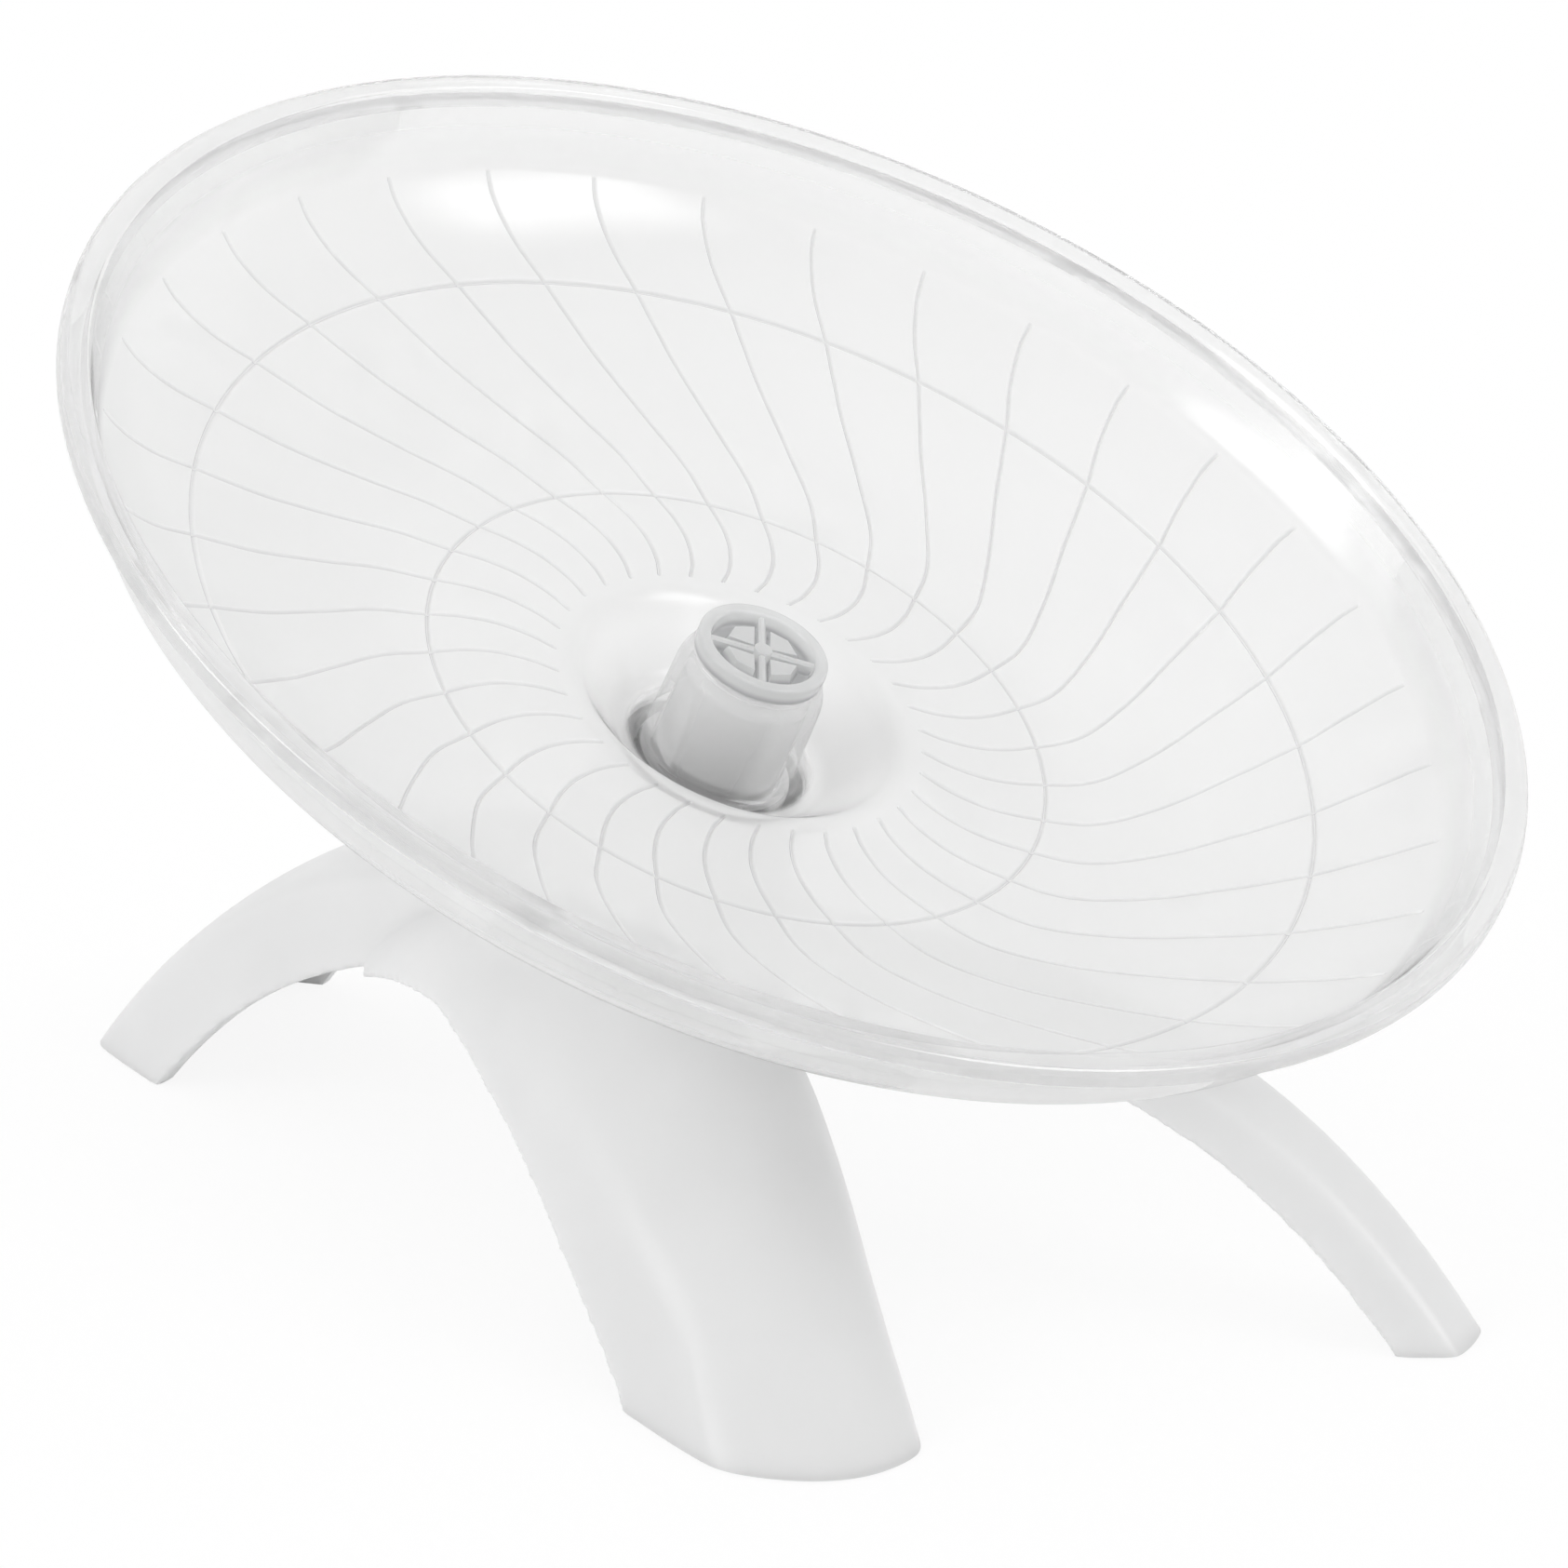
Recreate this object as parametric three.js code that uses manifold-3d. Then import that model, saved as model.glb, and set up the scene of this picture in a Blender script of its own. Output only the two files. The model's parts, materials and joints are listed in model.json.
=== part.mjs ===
// Hamster exercise wheel of the flying-saucer kind: a clear running disc that spins
// on a ball bearing at the end of a leaning, three-legged moulded stand.
// Millimetres and degrees, +Z up, +X the way that the disc leans.

import * as THREE from "three";
import { mergeVertices } from "three/addons/utils/BufferGeometryUtils.js";
import Module from "manifold-3d";

const wasm = await Module();
wasm.setup();

// Lean of the spin axis from the vertical, towards +X
const lean = 26.2;

// Running disc, measured in its own frame: zero height is the top of its flat floor
const discRadius = 90;
const lipWidth = 3.3;
const lipInnerRadius = discRadius - lipWidth;
const lipHeight = 26.4;
const lipEdgeRound = 1;
const lipEdgeDepth = 2.6;
const discWall = 1.7;
const flatFloorRadius = 38.9;
const footRingRadius = 69.9;
const footRingHeight = 8.8;
const footRingSlopeShare = 0.45;
const grooveEndRadius = 82.5;
const grooveEndHeight = 16.7;
const grooveEndSlopeShare = 0.95;
const lipSlopeShare = 2.9;

// Stations of the underside, as shares of the way from the flat floor to the groove ends
const underShares = [0.25, 0.5, 0.74, 1];

// Swirl of grooves pressed into the running face
const grooveCount = 34;
const grooveStartRadius = 23;
const grooveWidth = 1.1;
const grooveDepth = 0.6;
const grooveEndTaper = 0.9;
const swirlAngle = 23.1;
const swirlPhase = 0.84;

// Each pair: how far out along the groove, and how far round of the whole swirl.
// The negative start is the hook at the inner end of every groove.
const swirlShares = [
  [0, 0],
  [0.05, -0.106],
  [0.118, -0.14],
  [0.185, -0.093],
  [0.267, 0.022],
  [0.37, 0.155],
  [0.487, 0.385],
  [0.622, 0.623],
  [0.8, 0.842],
  [1, 1],
];

// Moat: the dip of the clear floor round the hub. The toe is the foot of its slope, and
// the brow is where the slope eases off towards the flat floor.
const moatRadius = 24;
const moatDepth = 7.6;
const moatFillet = 2;
const moatToeWidth = 1.8;
const moatToeRise = 0.85;
const moatToeSlopeShare = 0.85;
const moatBrowWidth = 4;
const moatBrowDrop = 1.35;
const moatBrowSlopeShare = 0.72;

// Hub cup moulded in one piece with the disc: it widens from its top to a soft shoulder
const hubFootRadius = 9.4;
const hubRadius = 9.2;
const hubTopRadius = 8.2;
const hubHeight = 6.2;
const hubShoulderHeight = 2.6;
const boreFootRadius = 8.2;
const boreTopRadius = 7.75;
const boreShoulderHeight = 3.2;
const ledgeRadius = 6.6;
const ledgeHeight = 4.6;
const capSeatRadius = 7.6;
const capSeatHeight = 5.1;

// White bearing housing pressed into the hub cup from below
const housingTopRadius = 6.2;
const housingRoomRadius = 4.4;

// Clear cap pressed into the top of the hub
const capFlangeRadius = 8.1;
const capTopHeight = 8.3;
const capRecessRadius = 6.4;
const capFloor = 0.85;
const capCrossHeading = 43;
const capRibWidth = 0.9;
const capRibHeight = 1.55;
const capPadRadius = 5.2;
const capPadHeight = 1.2;
const capPadDraft = 0.6;
const capPadSlot = 2;
const capPadSlotShare = 0.9;
const capPadSides = 8;
const capBossRadius = 1.3;
const capBossHeight = 1.75;
const capGussetRadius = 0.8;

// Ball bearing, a 4 by 13 by 5 millimetre size
const bearingRadius = 6.5;
const bearingBore = 2;
const bearingWidth = 5;
const outerRaceInner = 5.35;
const innerRaceOuter = 3.3;
const ballPitchRadius = 4.3;
const ballRadius = 0.95;
const ballCount = 7;
const ballPlay = 0.27;
const cageWall = 0.85;
const cageWidth = 2.3;
const cageLowShare = 0.35;
const shieldThickness = 0.3;
const shieldOuterRadius = 5.65;
const shieldInnerRadius = 3.65;
const shieldInset = 0.35;

// Screw, washer and spacer that hold the bearing on the stand
const screwShankRadius = 1.7;
const screwLength = 18;
const screwTip = 2.2;
const screwHeadRadius = 3.4;
const screwHeadHeight = 1.9;
const screwHeadRound = 0.8;
const washerRadius = 3.2;
const washerThickness = 0.6;
const spacerRadius = 3;
const spacerThickness = 1.2;

// Clearances between neighbouring pieces
const seatGap = 0.3;
const boreGap = 0.3;
const runningGap = 0.6;

// Stand: one thin moulding, a leaning post that flares into three arched legs
const crownHeight = 39;
const axisToFloorOfDisc = 26.4;
const standWall = 2.2;
const skirtSplay = 26;
const legCornerRound = 2.4;
const legOverrunShare = 1.22;
const innerOverrun = 6;

// Broad back leg, under the high side of the disc
const backLegHeading = 184;
const backLegShift = 1.9;
const backLegSink = 0.5;
const backLegReach = 85.3;
const backLegTail = 6;
const backLegArchShare = 2.99;
const backLegRootHalfWidth = 13.1;
const backLegFootHalfWidth = 15.9;
const backLegRootSkirt = 10;
const backLegFootSkirt = 14.2;
const backLegCrown = 2;

// Broad near leg
const nearLegHeading = -26.6;
const nearLegShift = -15.4;
const nearLegSink = 0.9;
const nearLegReach = 82.2;
const nearLegTail = 30;
const nearLegArchShare = 1.76;
const nearLegRootHalfWidth = 17.6;
const nearLegFootHalfWidth = 10.6;
const nearLegRootSkirt = 4;
const nearLegFootSkirt = 15.4;
const nearLegCrown = 6.4;

// Slim long leg, under the low side of the disc
const longLegHeading = 13.4;
const longLegShift = -6;
const longLegSink = 1.3;
const longLegReach = 108.1;
const longLegTail = 6;
const longLegArchShare = 3.9;
const longLegRootHalfWidth = 7.9;
const longLegFootHalfWidth = 4.8;
const longLegRootSkirt = 5.9;
const longLegFootSkirt = 6;
const longLegCrown = 0.5;

// Leaning post
const postTopRadius = 13.2;
const postTopRound = 1.6;
const postBaseRadius = 21;
const postBaseForward = 2;
const postBaseShift = -6.5;
const postBaseDrop = 3.2;
const postSkirt = 12.3;
const postFlareShare = 0.95;
const postSpreadShare = 0.55;
const spigotRadius = 6.1;
const spigotDraft = 0.2;
const screwBossRadius = 4.4;
const screwBossDepth = 17;
const webThickness = 1.8;
const webCount = 3;
const webReach = 17;

// Fineness of round forms
const bowlSides = 60;
const hubSides = 28;
const bearingSides = 18;
const postSides = 36;
const legStations = 12;
const crownShares = [0, 0.4, 0.75];
const cornerDropShare = 0.25;
const postSteps = 7;
const ballSides = 10;
const ballRings = 6;
const cageFacets = 3;
const gussetSides = 8;
const gussetRings = 4;

// Heights along the axis that follow from the sizes above
const bearingTop = 0;
const bearingBottom = bearingTop - bearingWidth;
const bearingMiddle = (bearingTop + bearingBottom) / 2;
const spigotTop = bearingBottom - seatGap - spacerThickness - seatGap;
const cupBottom = -moatDepth - discWall;
const postTop = cupBottom - runningGap;
const washerBottom = bearingTop + seatGap;
const headBottom = washerBottom + washerThickness + seatGap;
const headTop = headBottom + screwHeadHeight;
const moatFloorRadius = hubFootRadius + moatFillet;

const radians = THREE.MathUtils.degToRad;

// Materials

function clearPlastic() {
  return new THREE.MeshStandardMaterial({
    color: 0xf2f5f5,
    roughness: 0.08,
    metalness: 0,
  });
}

function milkyPlastic() {
  return new THREE.MeshStandardMaterial({
    color: 0xe9ecec,
    roughness: 0.42,
    metalness: 0,
  });
}

function bearingSteel() {
  return new THREE.MeshStandardMaterial({
    color: 0xb9bcc0,
    roughness: 0.22,
    metalness: 1,
  });
}

function cageSteel() {
  return new THREE.MeshStandardMaterial({
    color: 0xa39c8c,
    roughness: 0.38,
    metalness: 1,
  });
}

// Solids and meshes

function signedVolume(points, faces) {
  const a = new THREE.Vector3();
  const b = new THREE.Vector3();
  const c = new THREE.Vector3();
  let total = 0;
  for (let i = 0; i < faces.length; i += 3) {
    a.fromArray(points, faces[i] * 3);
    b.fromArray(points, faces[i + 1] * 3);
    c.fromArray(points, faces[i + 2] * 3);
    total += a.dot(b.cross(c));
  }
  return total;
}

function solidOf(geometry) {
  const bare = geometry.clone();
  bare.deleteAttribute("normal");
  bare.deleteAttribute("uv");
  const merged = mergeVertices(bare);
  const vertProperties = new Float32Array(merged.attributes.position.array);
  const triVerts = new Uint32Array(merged.index.array);
  if (signedVolume(vertProperties, triVerts) < 0) triVerts.reverse();
  return new wasm.Manifold(
    new wasm.Mesh({ numProp: 3, vertProperties, triVerts }),
  );
}

function geometryOf(solid) {
  const mesh = solid.getMesh();
  const geometry = new THREE.BufferGeometry();
  const points = new Float32Array(mesh.vertProperties);
  geometry.setAttribute("position", new THREE.BufferAttribute(points, 3));
  geometry.setIndex(new THREE.BufferAttribute(new Uint32Array(mesh.triVerts), 1));
  geometry.computeVertexNormals();
  return geometry;
}

function piece(name, solid, material) {
  const mesh = new THREE.Mesh(geometryOf(solid), material);
  mesh.name = name;
  return mesh;
}

// A profile of [radius, height] pairs turned about +Z
function turned(profile, sides) {
  const points = profile.map(([radius, height]) => new THREE.Vector2(radius, height));
  const geometry = new THREE.LatheGeometry(points, sides);
  geometry.rotateX(radians(90));
  return solidOf(geometry);
}

function ring(inner, outer, bottom, top, sides) {
  return turned(
    [
      [inner, bottom],
      [outer, bottom],
      [outer, top],
      [inner, top],
      [inner, bottom],
    ],
    sides,
  );
}

function disc(radius, bottom, top, sides) {
  return turned(
    [
      [0, bottom],
      [radius, bottom],
      [radius, top],
      [0, top],
    ],
    sides,
  );
}

function bar(width, depth, height, x, y, z) {
  const geometry = new THREE.BoxGeometry(width, depth, height);
  geometry.translate(x, y, z);
  return solidOf(geometry);
}

// A body drawn through closed rings of points, with a fan over each end
function lofted(rings) {
  const across = rings[0].length;
  const points = rings.flat().flatMap((p) => p.toArray());
  const faces = [];
  for (let i = 0; i + 1 < rings.length; i += 1) {
    for (let j = 0; j < across; j += 1) {
      const k = (j + 1) % across;
      const a = i * across + j;
      const b = i * across + k;
      faces.push(a, b, b + across, a, b + across, a + across);
    }
  }
  capEnd(rings, 0, points, faces);
  capEnd(rings, rings.length - 1, points, faces);
  const geometry = new THREE.BufferGeometry();
  geometry.setAttribute("position", new THREE.Float32BufferAttribute(points, 3));
  geometry.setIndex(faces);
  return solidOf(geometry);
}

function capEnd(rings, index, points, faces) {
  const across = rings[index].length;
  const middle = new THREE.Vector3();
  for (const p of rings[index]) middle.addScaledVector(p, 1 / across);
  const centre = points.length / 3;
  points.push(...middle.toArray());
  for (let j = 0; j < across; j += 1) {
    const a = index * across + j;
    const b = index * across + ((j + 1) % across);
    if (index === 0) faces.push(centre, b, a);
    else faces.push(centre, a, b);
  }
}

// Smooth curve through pairs whose first members rise, with its slope
function curveThrough(pairs, x) {
  let i = 0;
  while (i < pairs.length - 2 && x > pairs[i + 1][0]) i += 1;
  const slopes = pairs.map((pair, j) => {
    const before = pairs[Math.max(j - 1, 0)];
    const after = pairs[Math.min(j + 1, pairs.length - 1)];
    return (after[1] - before[1]) / (after[0] - before[0]);
  });
  return hermite(pairs[i], slopes[i], pairs[i + 1], slopes[i + 1], x);
}

function hermite([x0, y0], slope0, [x1, y1], slope1, x) {
  const width = x1 - x0;
  const t = (x - x0) / width;
  const near = (1 + 2 * t) * (1 - t) ** 2;
  const nearSlope = t * (1 - t) ** 2;
  const far = t ** 2 * (3 - 2 * t);
  const farSlope = t ** 2 * (t - 1);
  return near * y0 + nearSlope * width * slope0 + far * y1 + farSlope * width * slope1;
}

// Running disc

// Height of the running face at a radius: moat, flat floor, dished ramp, steep rim wall
function faceHeight(radius) {
  const knots = [
    [moatFloorRadius, -moatDepth, 0],
    [moatFloorRadius + moatToeWidth, moatToeRise - moatDepth, moatToeSlopeShare],
    [moatRadius - moatBrowWidth, -moatBrowDrop, moatBrowSlopeShare],
    [moatRadius, 0, 0],
    [flatFloorRadius, 0, 0],
    [footRingRadius, footRingHeight, footRingSlopeShare],
    [grooveEndRadius, grooveEndHeight, grooveEndSlopeShare],
    [lipInnerRadius, lipHeight, lipSlopeShare],
  ];
  if (radius <= moatFloorRadius) return -moatDepth;
  let i = 0;
  while (i < knots.length - 2 && radius > knots[i + 1][0]) i += 1;
  const [x0, y0, slope0] = knots[i];
  const [x1, y1, slope1] = knots[i + 1];
  return hermite([x0, y0], slope0, [x1, y1], slope1, radius);
}

// Unit normal of the running face, as its outward and upward parts
function faceNormal(radius) {
  const step = grooveEndTaper / 10;
  const slope = (faceHeight(radius + step) - faceHeight(radius - step)) / (2 * step);
  const size = Math.hypot(slope, 1);
  return [-slope / size, 1 / size];
}

function swirlAt(radius) {
  const span = grooveEndRadius - grooveStartRadius;
  const share = THREE.MathUtils.clamp((radius - grooveStartRadius) / span, 0, 1);
  return radians(swirlPhase + swirlAngle * curveThrough(swirlShares, share));
}

// Radii of the rows of the running face, each with the share of the groove depth there
// and the share of the depth of a ring groove
function faceRows() {
  const span = grooveEndRadius - grooveStartRadius;
  const rows = [];
  for (const [share] of swirlShares) {
    const radius = grooveStartRadius + span * share;
    const atEnd = share === 0 || share === 1;
    rows.push({ radius, swirl: atEnd ? 0 : 1, ring: 0 });
  }
  rows.push({ radius: grooveStartRadius + grooveEndTaper, swirl: 1, ring: 0 });
  rows.push({ radius: grooveEndRadius - grooveEndTaper, swirl: 1, ring: 0 });
  const kept = rows.filter((row) => !nearRing(row.radius));
  for (const radius of [flatFloorRadius, footRingRadius]) {
    kept.push({ radius: radius - grooveWidth / 2, swirl: 1, ring: 0 });
    kept.push({ radius, swirl: 1, ring: 1 });
    kept.push({ radius: radius + grooveWidth / 2, swirl: 1, ring: 0 });
  }
  const plain = [...moatRadii(), (grooveEndRadius + lipInnerRadius) / 2, lipInnerRadius];
  for (const radius of plain) kept.push({ radius, swirl: 0, ring: 0 });
  return kept.sort((a, b) => a.radius - b.radius);
}

function moatRadii() {
  const toe = moatFloorRadius + moatToeWidth;
  const brow = moatRadius - moatBrowWidth;
  return [moatFloorRadius, toe, (toe + brow) / 2, brow];
}

function nearRing(radius) {
  return [flatFloorRadius, footRingRadius].some(
    (ringRadius) => Math.abs(radius - ringRadius) < grooveWidth,
  );
}

// One closed ring of points round the running face, dipping into each groove
function faceRing(row) {
  const pitch = (2 * Math.PI) / grooveCount;
  const halfWidth = grooveWidth / 2 / row.radius;
  const [outward, upward] = faceNormal(row.radius);
  const points = [];
  for (let k = 0; k < grooveCount; k += 1) {
    const middle = swirlAt(row.radius) + k * pitch;
    const columns = [
      [middle - halfWidth, row.ring],
      [middle, Math.max(row.swirl, row.ring)],
      [middle + halfWidth, row.ring],
    ];
    for (const [angle, share] of columns) {
      const sink = share * grooveDepth;
      const radius = row.radius - outward * sink;
      const height = faceHeight(row.radius) - upward * sink;
      points.push(around(radius, angle, height));
    }
  }
  return points;
}

function around(radius, angle, height) {
  return new THREE.Vector3(radius * Math.cos(angle), radius * Math.sin(angle), height);
}

// The space above the running face and round the hub, with the grooves under it
function hollow() {
  const rows = faceRows();
  const rim = rows[rows.length - 1].radius;
  return lofted([
    levelRing(hubTopRadius, hubHeight),
    levelRing(hubRadius, hubShoulderHeight),
    levelRing(hubFootRadius, moatFillet - moatDepth),
    ...rows.map(faceRing),
    levelRing(rim, lipHeight + lipEdgeDepth),
  ]);
}

function levelRing(radius, height) {
  return faceRing({ radius, swirl: 0, ring: 0 }).map((p) => p.setZ(height));
}

// Outer form of the bowl, solid, with its rounded lip
function bowlBlank() {
  const under = (radius) => {
    const [outward, upward] = faceNormal(radius);
    const out = radius - outward * discWall;
    return [out, faceHeight(radius) - upward * discWall];
  };
  const lipUnder = lipHeight - lipEdgeDepth;
  const ramp = grooveEndRadius - flatFloorRadius;
  const underRadii = underShares.map((share) => flatFloorRadius + ramp * share);
  return turned(
    [
      [0, cupBottom],
      [moatFloorRadius, cupBottom],
      ...moatRadii().slice(1).map(under),
      [moatRadius, -discWall],
      [flatFloorRadius, -discWall],
      ...underRadii.map(under),
      [lipInnerRadius + discWall / 2, lipUnder - lipEdgeDepth],
      [discRadius - lipEdgeRound, lipUnder],
      [discRadius, lipUnder + lipEdgeRound],
      [discRadius, lipHeight - lipEdgeRound],
      [discRadius - lipEdgeRound, lipHeight],
      [0, lipHeight],
    ],
    bowlSides,
  );
}

// Bore of the hub cup: housing seat from below, a thin ledge, cap seat from above
function hubBore() {
  const below = cupBottom - seatGap;
  const above = capTopHeight + seatGap;
  return turned(
    [
      [0, below],
      [boreFootRadius, below],
      [boreTopRadius, boreShoulderHeight],
      [ledgeRadius, ledgeHeight],
      [ledgeRadius, capSeatHeight],
      [capSeatRadius, capSeatHeight],
      [capSeatRadius, above],
      [0, above],
    ],
    hubSides,
  );
}

function runningDisc() {
  return bowlBlank().subtract(hollow()).subtract(hubBore());
}

// Housing: a closed sleeve with a chamfered top, open below for the bearing
function bearingHousing() {
  const bottom = cupBottom + seatGap;
  const pocket = bearingRadius + boreGap;
  const shelf = bearingTop + seatGap;
  const room = headTop + seatGap;
  return turned(
    [
      [0, room],
      [housingRoomRadius, room],
      [housingRoomRadius, shelf],
      [pocket, shelf],
      [pocket, bottom],
      [boreFootRadius - boreGap, bottom],
      [boreTopRadius - boreGap, boreShoulderHeight - seatGap],
      [housingTopRadius, ledgeHeight - seatGap],
      [0, ledgeHeight - seatGap],
    ],
    hubSides,
  );
}

// Cap: a flanged cup whose recess holds a raised pad, quartered by a cross of four ribs
function hubCap() {
  const cup = capSeatRadius - boreGap;
  const bottom = capSeatHeight + seatGap;
  const flangeBottom = hubHeight + seatGap;
  const round = (capFlangeRadius - capRecessRadius) / 3;
  const floor = bottom + capFloor;
  let cap = turned(
    [
      [0, bottom],
      [cup, bottom],
      [cup, flangeBottom],
      [capFlangeRadius, flangeBottom],
      [capFlangeRadius, capTopHeight - round],
      [capFlangeRadius - round, capTopHeight],
      [capRecessRadius + round, capTopHeight],
      [capRecessRadius, capTopHeight - round],
      [capRecessRadius - round, floor],
      [0, floor],
    ],
    hubSides,
  );
  cap = cap.add(capPad(floor));
  cap = cap.add(capCross(capRibWidth, floor - capFloor / 2, floor + capRibHeight, 1));
  cap = cap.add(disc(capBossRadius, floor - capFloor / 2, floor + capBossHeight, bearingSides));
  const gussetHeight = floor + capRibHeight - capGussetRadius / 2;
  for (let k = 0; k < 4; k += 1) {
    const gusset = new THREE.SphereGeometry(capGussetRadius, gussetSides, gussetRings);
    gusset.translate(capRecessRadius - capGussetRadius / 2, 0, gussetHeight);
    gusset.rotateZ(radians(90 * k + capCrossHeading));
    cap = cap.add(solidOf(gusset));
  }
  return cap;
}

// Raised pad of the cap, cut into four by slots that leave room beside each rib
function capPad(floor) {
  const top = floor + capPadHeight;
  const pad = turned(
    [
      [0, floor - capFloor / 2],
      [capPadRadius, floor - capFloor / 2],
      [capPadRadius - capPadDraft, top],
      [0, top],
    ],
    capPadSides,
  );
  return pad.subtract(capCross(capPadSlot, floor, top + capPadHeight, capPadSlotShare));
}

// Two bars across the axis, as long as a share of the recess
function capCross(width, bottom, top, lengthShare) {
  const length = 2 * capRecessRadius * lengthShare;
  const first = bar(length, width, top - bottom, 0, 0, (top + bottom) / 2);
  const second = bar(width, length, top - bottom, 0, 0, (top + bottom) / 2);
  const turn = new THREE.Matrix4().makeRotationZ(radians(capCrossHeading));
  return first.add(second).transform(turn.elements);
}

// Ball bearing

// Half-round track of a race, from its low edge to its high edge
function track(side, edge) {
  const trackRadius = ballRadius + ballPlay;
  const half = Math.sqrt(trackRadius ** 2 - (edge - ballPitchRadius) ** 2);
  const start = Math.atan2(half, Math.abs(edge - ballPitchRadius));
  return [-1, -0.5, 0, 0.5, 1].map((share) => {
    const angle = start * share;
    const radius = ballPitchRadius + side * trackRadius * Math.cos(angle);
    return [radius, bearingMiddle + trackRadius * Math.sin(angle)];
  });
}

function outerRace() {
  const shelf = shieldInset + shieldThickness + seatGap;
  const shieldSeat = shieldOuterRadius + boreGap;
  return turned(
    [
      [shieldSeat, bearingBottom],
      [bearingRadius, bearingBottom],
      [bearingRadius, bearingTop],
      [shieldSeat, bearingTop],
      [shieldSeat, bearingTop - shelf],
      [outerRaceInner, bearingTop - shelf],
      ...track(1, outerRaceInner).reverse(),
      [outerRaceInner, bearingBottom + shelf],
      [shieldSeat, bearingBottom + shelf],
      [shieldSeat, bearingBottom],
    ],
    bearingSides,
  );
}

function innerRace() {
  return turned(
    [
      [bearingBore, bearingBottom],
      [innerRaceOuter, bearingBottom],
      ...track(-1, innerRaceOuter),
      [innerRaceOuter, bearingTop],
      [bearingBore, bearingTop],
      [bearingBore, bearingBottom],
    ],
    bearingSides,
  );
}

function ballPlace(k) {
  return around(ballPitchRadius, (2 * Math.PI * k) / ballCount, bearingMiddle);
}

function ball() {
  return solidOf(new THREE.SphereGeometry(ballRadius, ballSides, ballRings));
}

// Crown cage: a ring on one side of the balls with a pocket round each ball
function ballCage() {
  const inner = ballPitchRadius - cageWall / 2;
  const outer = ballPitchRadius + cageWall / 2;
  const bottom = bearingMiddle - cageWidth * cageLowShare;
  let cage = ring(inner, outer, bottom, bottom + cageWidth, ballCount * cageFacets);
  for (let k = 0; k < ballCount; k += 1) {
    const pocket = new THREE.SphereGeometry(ballRadius + seatGap, ballSides, ballRings);
    pocket.translate(...ballPlace(k).toArray());
    cage = cage.subtract(solidOf(pocket));
  }
  return cage;
}

function shield(face, inward) {
  const near = face + inward * shieldInset;
  const far = near + inward * shieldThickness;
  const bottom = Math.min(near, far);
  const top = Math.max(near, far);
  return ring(shieldInnerRadius, shieldOuterRadius, bottom, top, bearingSides);
}

// Fasteners on the spin axis

function spacer() {
  const bottom = spigotTop + seatGap;
  const bore = screwShankRadius + boreGap;
  return ring(bore, spacerRadius, bottom, bottom + spacerThickness, bearingSides);
}

function washer() {
  const top = washerBottom + washerThickness;
  return ring(screwShankRadius + boreGap, washerRadius, washerBottom, top, bearingSides);
}

function axleScrew() {
  const tip = headBottom - screwLength;
  return turned(
    [
      [0, tip],
      [screwShankRadius / 3, tip],
      [screwShankRadius, tip + screwTip],
      [screwShankRadius, headBottom],
      [screwHeadRadius, headBottom],
      [screwHeadRadius, headTop - screwHeadRound],
      [screwHeadRadius - screwHeadRound / 3, headTop - screwHeadRound / 3],
      [screwHeadRadius - screwHeadRound, headTop],
      [0, headTop],
    ],
    bearingSides,
  );
}

// Stand

function leanMatrix() {
  const place = new THREE.Vector3(0, 0, crownHeight);
  const axis = new THREE.Vector3(Math.sin(radians(lean)), 0, Math.cos(radians(lean)));
  place.addScaledVector(axis, axisToFloorOfDisc);
  const turn = new THREE.Matrix4().makeRotationY(radians(lean));
  return turn.setPosition(place);
}

function legForms() {
  const back = {
    heading: backLegHeading,
    shift: backLegShift,
    sink: backLegSink,
    reach: backLegReach,
    tail: backLegTail,
    arch: backLegArchShare,
    halfWidths: [backLegRootHalfWidth, backLegFootHalfWidth],
    skirts: [backLegRootSkirt, backLegFootSkirt],
    crown: backLegCrown,
  };
  const near = {
    heading: nearLegHeading,
    shift: nearLegShift,
    sink: nearLegSink,
    reach: nearLegReach,
    tail: nearLegTail,
    arch: nearLegArchShare,
    halfWidths: [nearLegRootHalfWidth, nearLegFootHalfWidth],
    skirts: [nearLegRootSkirt, nearLegFootSkirt],
    crown: nearLegCrown,
  };
  const long = {
    heading: longLegHeading,
    shift: longLegShift,
    sink: longLegSink,
    reach: longLegReach,
    tail: longLegTail,
    arch: longLegArchShare,
    halfWidths: [longLegRootHalfWidth, longLegFootHalfWidth],
    skirts: [longLegRootSkirt, longLegFootSkirt],
    crown: longLegCrown,
  };
  return [back, near, long];
}

// Cross-section of a leg at one share of its length, as [sideways, below the crown line]
function legSection(form, share, inset) {
  const along = THREE.MathUtils.clamp(share, 0, 1);
  const half = THREE.MathUtils.lerp(...form.halfWidths, along) - inset;
  const overrun = inset > 0 ? innerOverrun : 0;
  const skirt = THREE.MathUtils.lerp(...form.skirts, along) + overrun;
  const splay = radians(skirtSplay);
  const edge = inset + form.crown;
  const round = inset > 0 ? legCornerRound / 2 : legCornerRound;
  const side = crownShares.map((crownShare) => [
    half * crownShare,
    inset + form.crown * crownShare ** 2,
  ]);
  side.push([half, edge + round * cornerDropShare]);
  side.push([half + round * Math.sin(splay), edge + round]);
  side.push([half + skirt * Math.sin(splay), edge + skirt * Math.cos(splay)]);
  const mirrored = side.slice(1).map(([across, below]) => [-across, below]);
  return [...mirrored.reverse(), ...side];
}

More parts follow.
